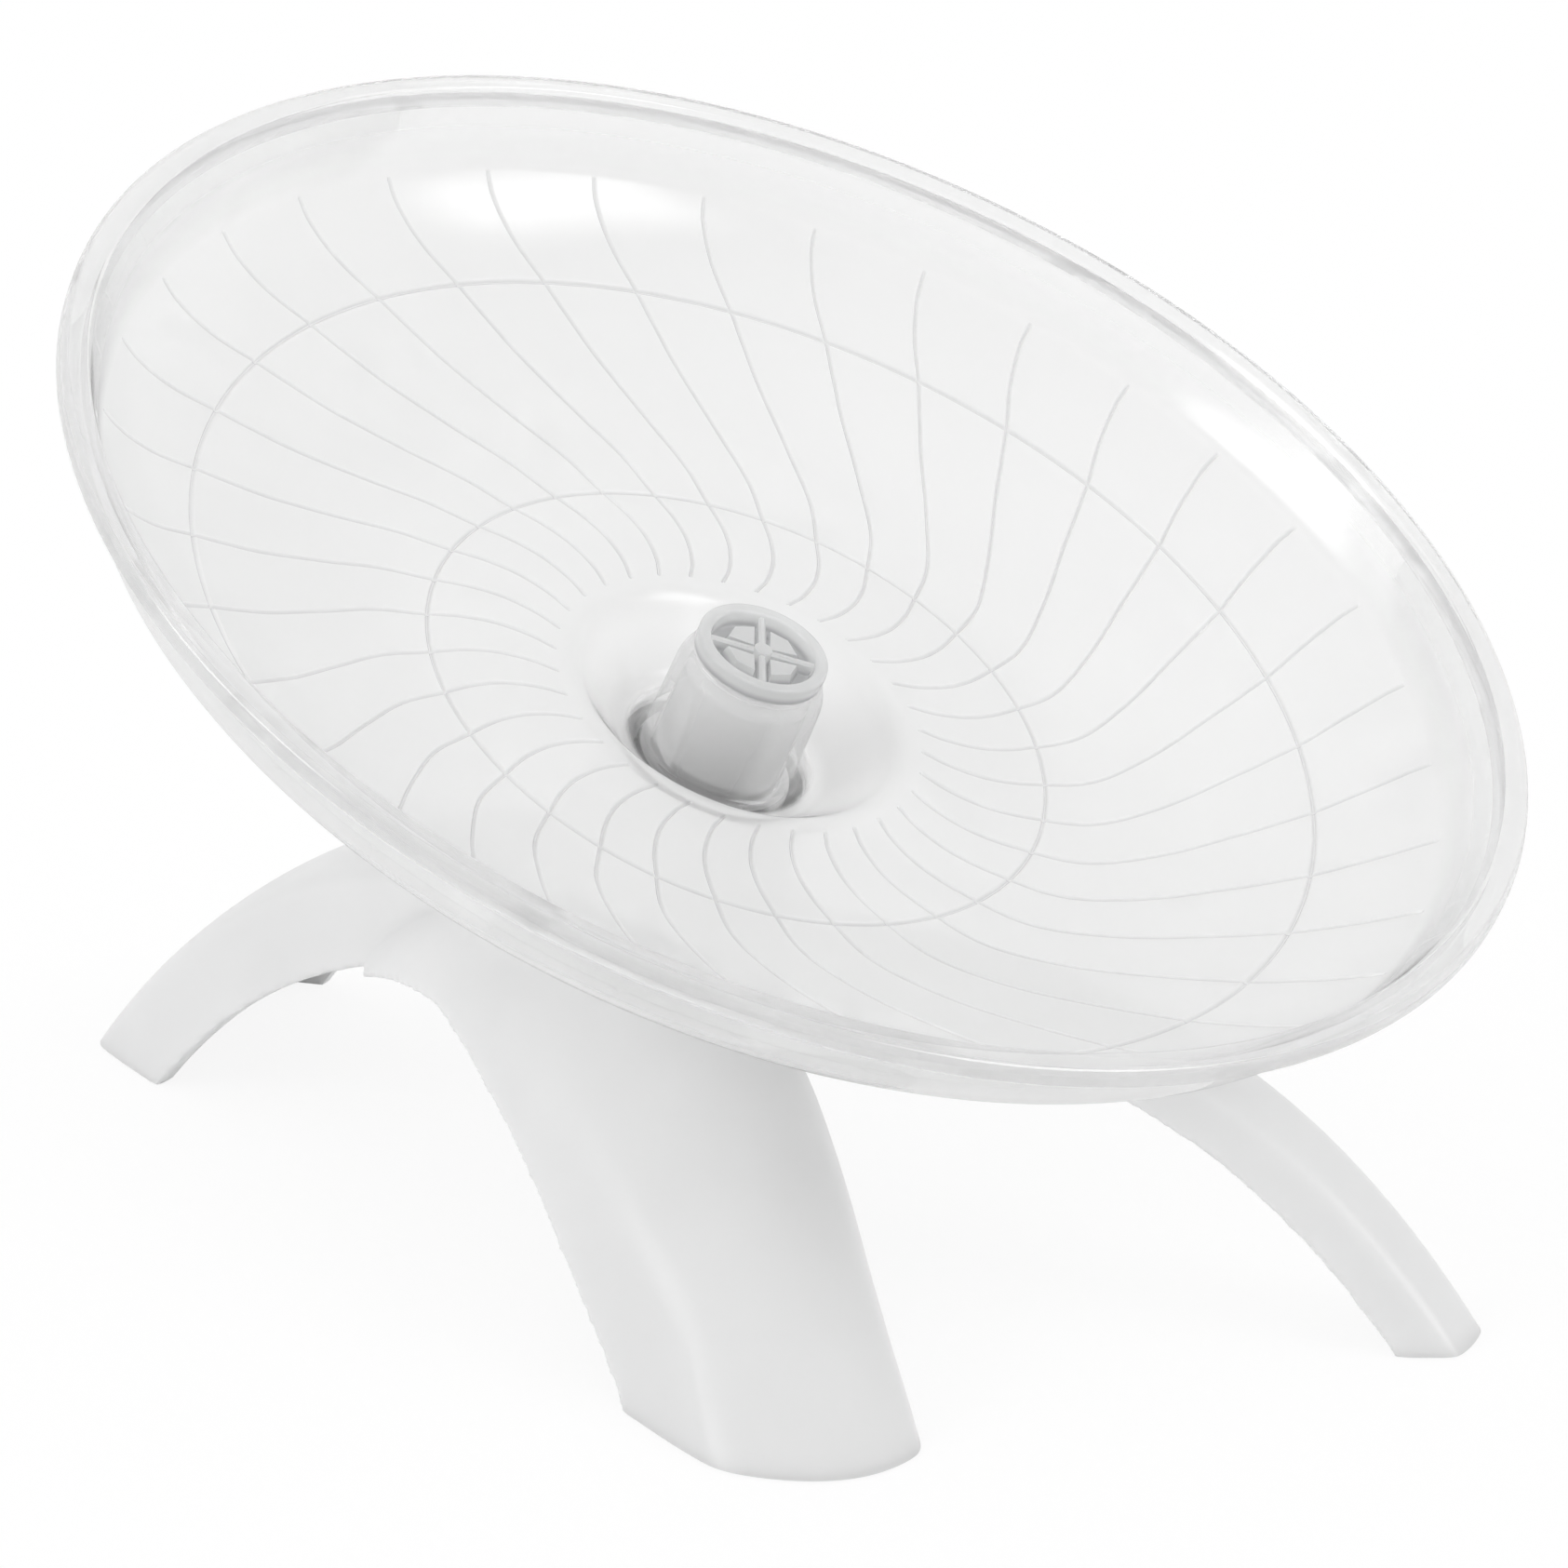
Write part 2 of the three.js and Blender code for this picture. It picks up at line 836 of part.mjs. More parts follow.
// A leg arches from the crown of the stand down through the floor
function leg(form, inset) {
  const heading = radians(form.heading);
  const along = new THREE.Vector3(Math.cos(heading), Math.sin(heading), 0);
  const sideways = new THREE.Vector3(-along.y, along.x, 0);
  const rise = crownHeight - form.sink;
  const rings = [];
  const first = -form.tail / form.reach;
  for (let i = 0; i < legStations; i += 1) {
    const share = THREE.MathUtils.lerp(first, legOverrunShare, i / (legStations - 1));
    const out = Math.abs(share);
    const slope = (rise * form.arch * out ** (form.arch - 1)) / form.reach;
    const fall = slope * Math.sign(share);
    const size = Math.hypot(fall, 1);
    const spine = new THREE.Vector3(0, form.shift, rise * (1 - out ** form.arch));
    spine.addScaledVector(along, form.reach * share);
    rings.push(
      legSection(form, share, inset).map(([across, below]) => {
        const point = spine.clone().addScaledVector(sideways, across);
        point.addScaledVector(along, (-below * fall) / size);
        point.z -= below / size;
        return point;
      }),
    );
  }
  return lofted(rings);
}

function legs(inset) {
  return legForms()
    .map((form) => leg(form, inset))
    .reduce((all, next) => all.add(next));
}

// The post is drawn from a leaning circle at its top to a level circle at its foot
function post(inset) {
  const place = leanMatrix();
  const topRadius = postTopRadius - inset;
  const baseRadius = postBaseRadius - inset;
  const baseHeight = crownHeight - postBaseDrop - inset;
  const topHeight = postTop - inset;
  const down = new THREE.Vector3(0, 0, -1).transformDirection(place);
  const rings = [];
  for (let i = 0; i <= postSteps; i += 1) rings.push([]);
  const shoulder = [];
  const skirt = [];
  const splay = radians(skirtSplay);
  const skirtDrop = postSkirt + (inset > 0 ? innerOverrun : 0);
  for (let j = 0; j < postSides; j += 1) {
    const angle = (2 * Math.PI * j) / postSides;
    const outward = around(1, angle, 0);
    const rim = around(topRadius, angle, topHeight - postTopRound).applyMatrix4(place);
    const base = around(baseRadius, angle, baseHeight);
    base.x += postBaseForward;
    base.y += postBaseShift;
    const start = down.clone().multiplyScalar(crownHeight * postFlareShare);
    const end = outward.clone().multiplyScalar(baseRadius * postSpreadShare);
    for (let i = 0; i <= postSteps; i += 1) {
      rings[i].push(bend(rim, start, base, end, i / postSteps));
    }
    shoulder.push(around(topRadius - postTopRound, angle, topHeight).applyMatrix4(place));
    skirt.push(
      base
        .clone()
        .addScaledVector(outward, skirtDrop * Math.sin(splay))
        .setZ(baseHeight - skirtDrop * Math.cos(splay)),
    );
  }
  return lofted([shoulder, ...rings, skirt]);
}

function bend(from, start, to, end, t) {
  const point = from.clone().multiplyScalar((1 + 2 * t) * (1 - t) ** 2);
  point.addScaledVector(start, t * (1 - t) ** 2);
  point.addScaledVector(to, t ** 2 * (3 - 2 * t));
  point.addScaledVector(end, t ** 2 * (t - 1));
  return point;
}

// Spigot inside the hub sleeve, and the screw boss with its webs inside the post
function postCore() {
  const spigot = turned(
    [
      [0, postTop - postTopRound],
      [spigotRadius, postTop - postTopRound],
      [spigotRadius - spigotDraft, spigotTop],
      [0, spigotTop],
    ],
    hubSides,
  );
  const depth = postTop - screwBossDepth;
  let core = spigot.add(disc(screwBossRadius, depth, postTop - postTopRound, hubSides));
  for (let k = 0; k < webCount; k += 1) {
    const web = new THREE.BoxGeometry(webReach, webThickness, screwBossDepth);
    web.translate(webReach / 2, 0, postTop - standWall - screwBossDepth / 2);
    web.rotateZ((2 * Math.PI * k) / webCount);
    core = core.add(solidOf(web));
  }
  return core.transform(leanMatrix().elements);
}

function screwHole() {
  const radius = screwShankRadius + boreGap;
  const depth = headBottom - screwLength - seatGap;
  return disc(radius, depth, spigotTop + seatGap, bearingSides).transform(
    leanMatrix().elements,
  );
}

function floorBlock() {
  const size = 4 * backLegReach;
  return bar(size, size, size, 0, 0, -size / 2);
}

function stand() {
  const outer = post(0).add(legs(0));
  const inner = post(standWall).add(legs(standWall));
  const shell = outer.subtract(inner);
  const core = postCore();
  const kept = core.intersect(outer.add(spigotSpace()));
  return shell.add(kept).subtract(screwHole()).subtract(floorBlock());
}

function spigotSpace() {
  const space = disc(spigotRadius, postTop - postTopRound, spigotTop, hubSides);
  return space.transform(leanMatrix().elements);
}

// Assembly

function build() {
  const object = new THREE.Group();
  const standPieces = new THREE.Group();
  const spinPieces = new THREE.Group();
  spinPieces.applyMatrix4(leanMatrix());
  standPieces.add(piece("stand", stand(), milkyPlastic()));
  spinPieces.add(piece("running_disc", runningDisc(), clearPlastic()));
  spinPieces.add(piece("hub_cap", hubCap(), clearPlastic()));
  spinPieces.add(piece("bearing_housing", bearingHousing(), milkyPlastic()));
  spinPieces.add(piece("bearing_outer_race", outerRace(), bearingSteel()));
  spinPieces.add(piece("bearing_inner_race", innerRace(), bearingSteel()));
  spinPieces.add(piece("ball_cage", ballCage(), cageSteel()));
  for (let k = 0; k < ballCount; k += 1) {
    const mesh = piece("ball_" + (k + 1), ball(), bearingSteel());
    mesh.position.copy(ballPlace(k));
    spinPieces.add(mesh);
  }
  spinPieces.add(piece("bearing_shield_top", shield(bearingTop, -1), bearingSteel()));
  spinPieces.add(piece("bearing_shield_bottom", shield(bearingBottom, 1), bearingSteel()));
  spinPieces.add(piece("spacer_ring", spacer(), bearingSteel()));
  spinPieces.add(piece("washer", washer(), bearingSteel()));
  spinPieces.add(piece("axle_screw", axleScrew(), bearingSteel()));
  object.add(standPieces);
  object.add(spinPieces);
  centre(object);
  return object;
}

// The origin is the middle of the floor under the whole object
function centre(object) {
  const box = new THREE.Box3().setFromObject(object);
  const middle = box.getCenter(new THREE.Vector3());
  object.position.set(-middle.x, -middle.y, 0);
}

export default build();
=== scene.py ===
"""Looks of the hamster exercise wheel: a clear running disc on a milky three-legged stand."""

import json
import math

import bmesh
import bpy
import numpy as np
from mathutils import Matrix, Vector


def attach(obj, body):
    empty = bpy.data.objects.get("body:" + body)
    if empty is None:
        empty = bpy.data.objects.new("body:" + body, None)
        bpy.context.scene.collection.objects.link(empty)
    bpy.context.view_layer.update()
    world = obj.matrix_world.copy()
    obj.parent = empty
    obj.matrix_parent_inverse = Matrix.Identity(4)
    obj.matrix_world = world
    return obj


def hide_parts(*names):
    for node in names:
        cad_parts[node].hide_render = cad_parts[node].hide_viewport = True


MM = 0.001

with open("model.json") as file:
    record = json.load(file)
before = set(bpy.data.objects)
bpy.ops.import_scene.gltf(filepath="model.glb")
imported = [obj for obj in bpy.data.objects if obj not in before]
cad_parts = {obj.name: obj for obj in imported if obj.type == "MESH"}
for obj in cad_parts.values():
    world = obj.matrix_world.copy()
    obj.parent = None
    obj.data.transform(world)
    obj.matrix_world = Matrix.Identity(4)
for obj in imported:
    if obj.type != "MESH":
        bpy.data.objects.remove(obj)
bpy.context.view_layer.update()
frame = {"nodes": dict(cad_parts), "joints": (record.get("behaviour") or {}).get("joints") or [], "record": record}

# The disc's own frame: its pivot, the spin axis, and the way downhill
spin = next(j for j in frame["joints"] if j["name"] == "disc_spin")
PIVOT = np.array(spin["pos_m"])
AXIS = np.array(spin["axis"]) / np.linalg.norm(spin["axis"])
DOWNHILL = np.array([AXIS[2], 0.0, -AXIS[0]])
TURN = np.column_stack([DOWNHILL, np.cross(AXIS, DOWNHILL), AXIS])

# Running disc in its own frame, millimetres: zero height is the top of its flat floor
DISC_RADIUS = 90.0
LIP_INNER_RADIUS = 86.7
LIP_HEIGHT = 26.4
LIP_EDGE_DEPTH = 2.6
LIP_EDGE_ROUND = 1.0
LIP_INNER_ROUND = 0.45
LIP_UNDER_ROUND = 0.6
DISC_WALL = 1.7
FLAT_RADIUS = 38.9
FOOT_RING_RADIUS = 69.9
FOOT_RING_HEIGHT = 8.8
RINGS = (FLAT_RADIUS, FOOT_RING_RADIUS)
GROOVE_START = 23.0
GROOVE_END = 82.5
GROOVE_END_HEIGHT = 16.7
GROOVE_COUNT = 34
GROOVE_HALF_WIDTH = 0.38
GROOVE_DEPTH = 0.4
GROOVE_TAPER = 0.9
SWIRL_DEGREES = 23.1
SWIRL_PHASE = 0.84
# Knots of the running face: radius, height, slope
FACE_KNOTS = [
    (FLAT_RADIUS, 0.0, 0.0),
    (FOOT_RING_RADIUS, FOOT_RING_HEIGHT, 0.45),
    (GROOVE_END, GROOVE_END_HEIGHT, 0.95),
    (LIP_INNER_RADIUS, LIP_HEIGHT, 2.9),
]
# Knots of a groove: share of its way out, and share of its turn reached there
SWIRL_SHARES = [
    (0, 0),
    (0.05, -0.106),
    (0.118, -0.14),
    (0.185, -0.093),
    (0.267, 0.022),
    (0.37, 0.155),
    (0.487, 0.385),
    (0.622, 0.623),
    (0.723, 0.755),
    (0.788, 0.827),
    (0.874, 0.926),
    (0.958, 0.99),
    (1, 1),
]

# Moat: the dip of the clear floor round the hub, its knots as those of the face
MOAT_RADIUS = 24.0
MOAT_FOOT_RADIUS = 11.4
MOAT_DEPTH = 7.6
MOAT_KNOTS = [
    (MOAT_FOOT_RADIUS, -MOAT_DEPTH, 0.0),
    (13.7, -6.7, 0.9),
    (19.5, -1.15, 0.95),
    (GROOVE_START, 0.0, 0.0),
    (MOAT_RADIUS, 0.0, 0.0),
]

# Mesh of the disc. Bands of rows: from radius, to radius, step. Columns: offsets across a groove
# up to its middle, and the count on the plain face between two grooves
ROWS_CHANGE = 82.0
FACE_BANDS = [
    (MOAT_FOOT_RADIUS, GROOVE_START, 0.45),
    (GROOVE_START, 32.0, 0.4),
    (32.0, ROWS_CHANGE, 0.85),
    (ROWS_CHANGE, LIP_INNER_RADIUS - 0.3, 0.4),
]
UNDER_BANDS = [
    (LIP_INNER_RADIUS - 0.9, ROWS_CHANGE, -0.6),
    (ROWS_CHANGE, MOAT_RADIUS, -1.4),
    (MOAT_RADIUS, MOAT_FOOT_RADIUS, -0.7),
]
GROOVE_END_SHARES = (-1, -0.6, -0.3, 0, 0.15, 0.35, 0.6, 1)
RING_CLEARANCE = 1.1
LEAST_ROW_STEP = 0.08
GROOVE_OFFSETS = [-1.0, -0.72, -0.56, -0.44, -0.35, -0.26, -0.17, -0.08]
PLAIN_COLUMNS = 5
LEAST_COLUMN_RADIUS = 20.0

# Hub cup and its bore
HUB_TOP = 6.2
HUB_TOP_RADIUS = 8.2
HUB_ROUND = 0.5
HUB_SHOULDER = 2.6
HUB_RADIUS = 9.2
HUB_MIDDLE = -1.6
HUB_FOOT_RADIUS = 9.4
HUB_FOOT = -5.8
BORE_FOOT_RADIUS = 8.2
BORE_TOP_RADIUS = 7.75
BORE_SHOULDER = 3.2
LEDGE_RADIUS = 6.6
LEDGE_HEIGHT = 4.6
CAP_SEAT_RADIUS = 7.6
CAP_SEAT = 5.1

# Hub cap
CAP_TOP = 8.3
CAP_RADIUS = 8.1
CAP_RECESS = 6.4
CAP_FLOOR = 6.25
CAP_FLANGE_LOW = HUB_TOP + 0.06
CAP_PLUG_RADIUS = 7.5
CAP_PLUG_LOW = 5.3
CAP_ROUND = 0.42
CAP_FLANGE_ROUND = 0.12
CROSS_HEADING = 43
CROSS_WIDTH = 0.9
SLOT_WIDTH = 2.0
RIB_SOFT = 0.25
PAD_RADII = (5.3, 4.7)
BOSS_RADII = (1.3, 1.1)
CAP_ROOT = CAP_FLOOR - 0.3

# Ball bearing, from its top face at zero height
BEARING_RADIUS = 6.5
BEARING_BORE = 2.0
BEARING_WIDTH = 5.0
OUTER_RACE_INNER = 5.24
INNER_RACE_OUTER = 3.36
SHIELD_SEAT_RADIUS = 5.75
SHIELD_SEAT_DEPTH = 0.75
BALL_COUNT = 7
BALL_RADIUS = 0.95
BALL_PITCH = 4.3
BALL_HEIGHT = -2.5
TRACK_RADIUS = 1.0
POCKET_RADIUS = 1.05
# Plain rings: inner radius, outer radius, low, high
CAGE = (3.9, 4.7, -3.3, -1.1)
SHIELD_TOP = (3.5, 5.65, -0.65, -0.35)
SHIELD_BOTTOM = (3.5, 5.65, -4.65, -4.35)
SPACER = (BEARING_BORE, 3.1, -6.6, -5.2)
WASHER = (BEARING_BORE, 3.3, 0.2, 0.95)

# Stand, its legs in a frame of its own: zero height is the floor
CROWN_HEIGHT = 39.0
CROWN_TO_DISC = 26.4
STAND_WALL = 2.2
SPLAY = math.radians(26)
CORNER_ROUND = 2.4
LEG_OVERRUN = 1.22
EDGE_OVERRUN = 6.0
OUTER_VOXEL, OUTER_SMOOTHING = 0.45, 30
INNER_VOXEL, INNER_SMOOTHING = 0.9, 6

# Legs: halves and skirts are those at root and foot. The near leg's foot departs from the plain
# form by hand, far (-1) and near (1): how much wider it is at the root and at the foot and the
# span between, what its crown gains, how far its skirt spreads, and how steep it ends
LEGS = {
    "back": dict(
        heading=184, shift=1.9, sink=0.5, reach=85.3, tail=6, arch=2.99,
        halves=(13.1, 15.9), skirts=(10, 14.2), crown=2, far_cut=4.5,
    ),
    "near": dict(
        heading=-26.6, shift=-15.4, sink=0.9, reach=81.6, tail=30, arch=1.76,
        halves=(17.6, 10.6), skirts=(4, 15.4), crown=6.4, toe=1.6, lift=1.2, edge_round=1.0,
        foot={
            -1: dict(root=0, foot=3.0, span=(0.7, 0.95), crown=0, spread=1.2, steep=SPLAY),
            1: dict(
                root=1.6, foot=-2.0, span=(0.38, 0.85), crown=-3.2, spread=0,
                steep=math.radians(17),
            ),
        },
    ),
    "long": dict(
        heading=13.4, shift=-6, sink=1.3, reach=108.1, tail=6, arch=3.9,
        halves=(7.9, 4.8), skirts=(5.9, 6), crown=0.5,
    ),
}
# Shares of a leg's reach between which its form changes
CROWN_SPAN = (0.4, 0.95)
CUT_SPAN = (0.15, 0.5)
SPREAD_SPAN = (0.4, 0.75)
STEEP_SPAN = (0.4, 0.8)
EDGE_SPAN = (0.3, 0.7)
TOE_OUT_SPAN = (0.45, 0.78)
TOE_BACK_SPAN = (0.76, 1.06)
# Points across a leg: shares of the half width over its top, and of the skirt on its way down
TOP_SHARES = (0, 0.15, 0.3, 0.45, 0.6, 0.75, 0.88)
DOWN_SHARES = (0.35, 0.7, 1)

# Post: its top and inside in the disc's frame, its base in the stand's
POST_TOP = -9.9
POST_TOP_RADIUS = 13.2
POST_TOP_ROUND = 1.6
POST_BASE_RADIUS = 21
POST_BASE_DROP = 3.2
POST_BASE_PLACE = (2, -6.5)
POST_SKIRT = 13.4
POST_FLARE_SHARE = 0.95
POST_SPREAD_SHARE = 0.55
SPIGOT_TOP = -6.8
SPIGOT_RADII = (6.1, 5.9)
BOSS_LOW = -26.9
BOSS_RADIUS = 4.4
COLLAR_LOW = -20
COLLAR_RADIUS = 11.6
GAP_RADII = (9.7, 11.5)
GAP_LOW = -18.5
HOLE_RADIUS = 2.0
HOLE_LOW = -17.1
WEB_COUNT = 3
WEB_REACH = 17
WEB_HALF = 0.9
WEB_LOW = -29.0

# Meshes: sides of turned pieces, and the angle in degrees past which their edges are sharp
FINE_SIDES = 128
SIDES = 96
SMALL_SIDES = 48
SHARP_ANGLE = 40
BOX_FACES = [(0, 1, 3, 2), (4, 6, 7, 5), (0, 4, 5, 1), (2, 3, 7, 6), (0, 2, 6, 4), (1, 5, 7, 3)]


# Helpers for meshes


def to_row(points):
    """Points in the disc's frame, in millimetres, as metres in the row frame."""
    return PIVOT + MM * np.asarray(points) @ TURN.T


def stand_to_row(points):
    """Points in the stand's frame, in millimetres, as metres in the row frame."""
    crown = PIVOT - MM * CROWN_TO_DISC * AXIS
    origin = crown - np.array([0, 0, MM * CROWN_HEIGHT])
    return origin + MM * np.asarray(points)


def turned(points, heading):
    """Points in the disc's frame turned about its axis by a heading in degrees."""
    x, y, z = np.asarray(points, float).T
    cosine, sine = math.cos(math.radians(heading)), math.sin(math.radians(heading))
    return np.column_stack([x * cosine - y * sine, x * sine + y * cosine, z])


def shade_smooth(obj, angle=None):
    """Smooth faces, sharp where they meet at more than the angle in degrees."""
    for polygon in obj.data.polygons:
        polygon.use_smooth = True
    if angle is not None:
        bpy.context.view_layer.objects.active = obj
        obj.data.set_sharp_from_angle(angle=math.radians(angle))


def make_object(name, points, faces, mixed_faces=False):
    """A closed mesh with its faces outwards. Mixed faces don't all turn the same way yet."""
    mesh = bpy.data.meshes.new(name)
    mesh.from_pydata([tuple(map(float, p)) for p in points], [], faces)
    mesh.update()
    obj = bpy.data.objects.new(name, mesh)
    bpy.context.collection.objects.link(obj)
    bm = bmesh.new()
    bm.from_mesh(mesh)
    if mixed_faces:
        bmesh.ops.recalc_face_normals(bm, faces=bm.faces)
    elif bm.calc_volume(signed=True) < 0:
        bmesh.ops.reverse_faces(bm, faces=bm.faces)
    bm.to_mesh(mesh)
    bm.free()
    return obj


def box(name, xs, ys, zs, place):
    points = np.array([[x, y, z] for x in xs for y in ys for z in zs])
    return make_object(name, place(points), BOX_FACES)


def grid_faces(rows, columns, rows_closed):
    """Quads of a grid of points, closed round its columns and maybe round its rows."""
    faces = []
    last = rows if rows_closed else rows - 1
    for i in range(last):
        a = i * columns
        b = ((i + 1) % rows) * columns
        for j in range(columns):
            k = (j + 1) % columns
            faces.append((a + j, a + k, b + k, b + j))
    return faces


def circle(radius, height, sides):
    """Points of a circle about the axis."""
    angles = [2 * math.pi * j / sides for j in range(sides)]
    return [(radius * math.cos(a), radius * math.sin(a), height) for a in angles]


def lathe(name, profile, sides=SIDES, closed=True, place=to_row):
    """A closed [radius, height] outline turned about the axis. A radius of zero makes a pole."""
    rings = []
    faces = []
    points = []
    for radius, height in profile:
        ring = [(0.0, 0.0, height)] if radius < 1e-6 else circle(radius, height, sides)
        rings.append(list(range(len(points), len(points) + len(ring))))
        points += ring
    pairs = list(zip(rings, rings[1:]))
    if closed:
        pairs.append((rings[-1], rings[0]))
    for low, high in pairs:
        if len(low) == 1 and len(high) == 1:
            continue
        for j in range(sides):
            k = (j + 1) % sides
            if len(low) == 1:
                faces.append((low[0], high[k], high[j]))
            elif len(high) == 1:
                faces.append((low[j], low[k], high[0]))
            else:
                faces.append((low[j], low[k], high[k], high[j]))
    return make_object(name, place(np.array(points)), faces)


def band(inner, outer, low, high):
    """Outline of a plain ring."""
    return [(inner, low), (outer, low), (outer, high), (inner, high)]


def arc(radius, height, across, tall, start, end, steps):
    """Points of an elliptic arc about (radius, height), from start to end degrees."""
    points = []
    for i in range(steps + 1):
        angle = math.radians(start + (end - start) * i / steps)
        points.append((radius + across * math.cos(angle), height + tall * math.sin(angle)))
    return points


def rounded(corners, radius, steps):
    """A closed outline with each corner rounded, by its own third number if it has one."""
    outline = []
    count = len(corners)
    for i, corner in enumerate(corners):
        here = np.array(corner[:2], float)
        before = np.array(corners[i - 1][:2], float) - here
        after = np.array(corners[(i + 1) % count][:2], float) - here
        if here[0] < 1e-6:
            outline.append(tuple(here))
            continue
        own = corner[2] if len(corner) > 2 else radius
        cut = min(own, 0.45 * np.linalg.norm(before), 0.45 * np.linalg.norm(after))
        start = here + before / np.linalg.norm(before) * cut
        end = here + after / np.linalg.norm(after) * cut
        for step in range(steps + 1):
            t = step / steps
            point = (1 - t) ** 2 * start + 2 * t * (1 - t) * here + t**2 * end
            outline.append(tuple(point))
    return outline


def boolean(target, tool, operation):
    """Joins or cuts with the other mesh, which is then gone."""
    modifier = target.modifiers.new("cut", "BOOLEAN")
    modifier.operation = operation
    modifier.solver = "MANIFOLD"
    modifier.object = tool
    apply_modifiers(target)
    bpy.data.objects.remove(tool)


def apply_modifiers(obj):
    depsgraph = bpy.context.evaluated_depsgraph_get()
    mesh = bpy.data.meshes.new_from_object(obj.evaluated_get(depsgraph))
    obj.modifiers.clear()
    old = obj.data
    obj.data = mesh
    bpy.data.meshes.remove(old)


def voxel_union(obj, voxel, smoothing):
    """One skin round overlapping closed meshes, with its seams softened."""
    remesh = obj.modifiers.new("remesh", "REMESH")
    remesh.mode = "VOXEL"
    remesh.voxel_size = voxel * MM
    remesh.use_smooth_shade = True
    smooth = obj.modifiers.new("smooth", "SMOOTH")
    smooth.factor = 0.5
    smooth.iterations = smoothing
    apply_modifiers(obj)


def solid_copy(obj):
    copy = obj.copy()
    copy.data = obj.data.copy()
    bpy.context.collection.objects.link(copy)
    return copy


def ramp(value, start, end):
    """Smooth step from 0 at the start to 1 at the end."""
    t = min(max((value - start) / (end - start), 0), 1)
    return t * t * (3 - 2 * t)


def hermite(knots, x):
    """Smooth curve through (place, value, slope) knots."""
    x = np.asarray(x, float)
    result = np.full(x.shape, float(knots[0][1]))
    for (x0, y0, m0), (x1, y1, m1) in zip(knots, knots[1:]):
        width = x1 - x0
        t = np.clip((x - x0) / width, 0, 1)
        value = (
            (1 + 2 * t) * (1 - t) ** 2 * y0
            + t * (1 - t) ** 2 * width * m0
            + t**2 * (3 - 2 * t) * y1
            + t**2 * (t - 1) * width * m1
        )
        result = np.where(x > x0, value, result)
    return result


# Running disc


def swirl(radius):
    """Angle round the disc of a groove at a radius."""
    slopes = []
    last = len(SWIRL_SHARES) - 1
    for j in range(last + 1):
        before = SWIRL_SHARES[max(j - 1, 0)]
        after = SWIRL_SHARES[min(j + 1, last)]
        slopes.append((after[1] - before[1]) / (after[0] - before[0]))
    knots = [(*pair, slope) for pair, slope in zip(SWIRL_SHARES, slopes)]
    share = np.clip((radius - GROOVE_START) / (GROOVE_END - GROOVE_START), 0, 1)
    return float(np.radians(SWIRL_PHASE + SWIRL_DEGREES * hermite(knots, share)))


def face_height(radius):
    return float(hermite(MOAT_KNOTS if radius < MOAT_RADIUS else FACE_KNOTS, radius))


def face_normal(radius):
    """Outward and upward parts of the running face's normal."""
    step = 0.05
    slope = (face_height(radius + step) - face_height(radius - step)) / (2 * step)
    size = math.hypot(slope, 1)
    return -slope / size, 1 / size


def face_radii():
    """Radii of the rows of the running face, closer together where it turns or dips."""
    radii = [radius for ends in FACE_BANDS for radius in np.arange(*ends)]
    for end in (GROOVE_START, GROOVE_END):
        radii += [end + share * GROOVE_TAPER for share in GROOVE_END_SHARES]
    radii = [r for r in radii if all(abs(r - ring) > RING_CLEARANCE for ring in RINGS)]
    for ring in RINGS:
        radii += [ring + GROOVE_HALF_WIDTH * share for share in np.linspace(-1.4, 1.4, 15)]
    spaced = []
    for radius in sorted(radii):
        if not spaced or radius - spaced[-1] > LEAST_ROW_STEP:
            spaced.append(radius)
    return spaced


def dip(offset):
    """Share of the groove depth at an offset across it, in half widths."""
    return 0.5 * (1 + math.cos(math.pi * min(abs(offset), 1)))


def groove_share(radius):
    """How deep the swirl grooves are at a radius: full, with rounded ends."""
    t = min(max((radius - GROOVE_START) / GROOVE_TAPER, 0), 1)
    u = min(max((GROOVE_END - radius) / GROOVE_TAPER, 0), 1)
    return math.sqrt(1 - (1 - t) ** 2) * math.sqrt(1 - (1 - u) ** 2)


